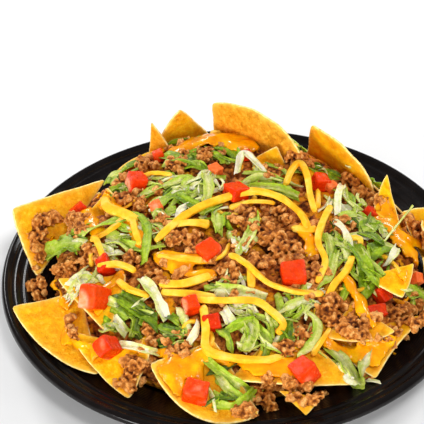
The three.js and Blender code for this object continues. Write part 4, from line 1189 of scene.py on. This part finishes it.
# %% Cheese places
# width factor, lift, then x and y of the points
CHEESE = [
    (1.1, 4, -43, -13, -30, 0, -18, 9, -4, 15, 8, 19, 20, 17, 30, 9, 36, 1, 39, -8),
    (0.8, 3, -3, 9, 8, 12, 22, 12), (1.3, 2, -33, -1, -22, -2, -14, -3),
    (0.9, 2, -42, -22, -30, -26, -18, -28), (1.1, 2, -41, -40, -28, -42, -14, -38),
    (0.9, 2, -40, -45, -26, -48, -12, -51), (0.9, 5, -73, -23, -62, -26, -53, -31),
    (0.9, 3, -63, -33, -56, -41, -46, -46), (0.8, 5, -76, -3, -73, -8, -70, -19),
    (0.9, 2, -78, -3, -67, 0, -58, 9), (0.9, 3, -56, 9, -54, -3, -51, -14),
    (1.4, 3, -71, 30, -68, 17, -60, 9, -53, 3),
    (0.9, 4, -22, -52, -8, -54, 8, -55, 16, -60, 22, -66, 19, -71),
    (1.1, 3, -18, -55, -17, -67, -17, -77, -8, -81, 8, -83, 21, -81),
    (0.9, 4, -4, -25, 5, -33, 12, -42, 20, -47, 32, -49, 44, -48), (1.0, 2, 7, -34, 7, -47),
    (0.9, 5, 28, 25, 33, 39, 37, 42, 40, 30, 41, 16, 43, 4),
    (0.9, 4, 52, 10, 46, -5, 43, -18, 46, -30, 41, -42), (0.9, 3, 61, -23, 57, -33, 50, -42, 46, -49),
    (0.6, 5, 46, -66, 36, -79), (0.8, 3, -56, 35, -46, 40, -34, 38), (0.7, 2, 46, 24, 45, 9),
    (0.8, 2, 56, -13, 65, -11, 66, -15), (1.0, 1, 30, -6, 38, -8, 44, -6), (0.6, 3, 44, 8, 46, 22),
    (0.9, 3, -12, 80, 4, 84, 18, 84), (0.9, 2, 62, 80, 72, 70, 80, 58), (0.8, 2, -66, 62, -56, 70, -44, 76),
]
CHEESE_W, CHEESE_T = 4.3, 3.0
BITS, BITS_RX, BITS_RY = 30, 92, 86  # number of short bits, half width and depth of their spread
BIT_BEND = 0.35  # radians that each half of a bit is bent
SQUARENESS = 0.35  # 1 gives a strand with wide bevels, 0 a sharp square one


# %% Shredded cheese
def cheese_finish():
    f = Finish("cheese_shred", Roughness=0.4, Subsurface_Weight=0.15, Subsurface_Scale=1.0,
               Subsurface_Radius=(0.003, 0.0014, 0.0003), Specular_IOR_Level=0.2)
    f.colour(f.ramp(f.noise(6, 4), (0.3, 0.94, 0.40, 0.006), (0.5, 1.0, 0.54, 0.02),
                    (0.72, 1.0, 0.68, 0.11)))
    f.roughness(2.5, 2, 0.3, 0.5)
    f.bump(f.plus(f.noise(1.4, 3), f.noise(4, 2)), 0.3, 0.4)
    return f.material


def add_strand(bm, line, wide, thick, lift, seed, sides=8):
    """A strand of cheese: a grid rolled into a rounded square tube."""
    course = Course(line, lift)
    part = bmesh.new()
    n = course.sections()
    for v in grid(part, n, sides):
        t, angle = (v.co.x + 1) / 2, (v.co.y + 1 / sides) * pi
        p, ahead, side, up = course.at(t)
        side, up = turned(side, up, 0.6 * sin(3 * t + seed) + 0.2)
        across, high = cos(angle), sin(angle)
        square = 1 / max(abs(across), abs(high))
        across, high = (copysign(abs(k * square) ** SQUARENESS, k) for k in (across, high))
        grow = (1 - 0.5 * blend(0.45, 0.5, abs(t - 0.5))) * (1 + 0.14 * wobble(p, 6, seed)) * 0.92
        high = high * thick / 2 * grow + 0.5 * wobble(p, 10, seed)
        v.co = p + side * (across * wide / 2 * grow) + up * high
    bmesh.ops.remove_doubles(part, verts=part.verts, dist=0.02)
    bmesh.ops.holes_fill(part, edges=[e for e in part.edges if e.is_boundary], sides=sides)
    outward(part)
    into(bm, part)


bm = bmesh.new()
for i, (factor, lift, *row) in enumerate(CHEESE):
    add_strand(bm, line_of(row), CHEESE_W * factor, CHEESE_T * max(0.8, factor), lift + 0.6, 30 + i)
draw = random.Random(9)
bits = 0
while bits < BITS:
    x, y = draw.uniform(-90, 90), draw.uniform(-86, 80)
    if hypot(x / BITS_RX, y / BITS_RY) > 1:
        continue
    turn, reach = draw.uniform(0, tau), draw.uniform(4, 9)
    line = [beside(x, y, k * reach, turn + k * BIT_BEND) for k in (-1, 0, 1)]
    add_strand(bm, line, draw.uniform(2, 3.2), draw.uniform(1.8, 2.6), draw.uniform(0, 1.2), 300 + bits, 6)
    bits += 1
shreds = show("cheese_shreds", in_metres(bm), "cheese_shred", "heap", cheese_finish())
sharpen(shreds, 60)
print("cheese strands:", len(CHEESE) + bits, "faces:", len(shreds.data.polygons))
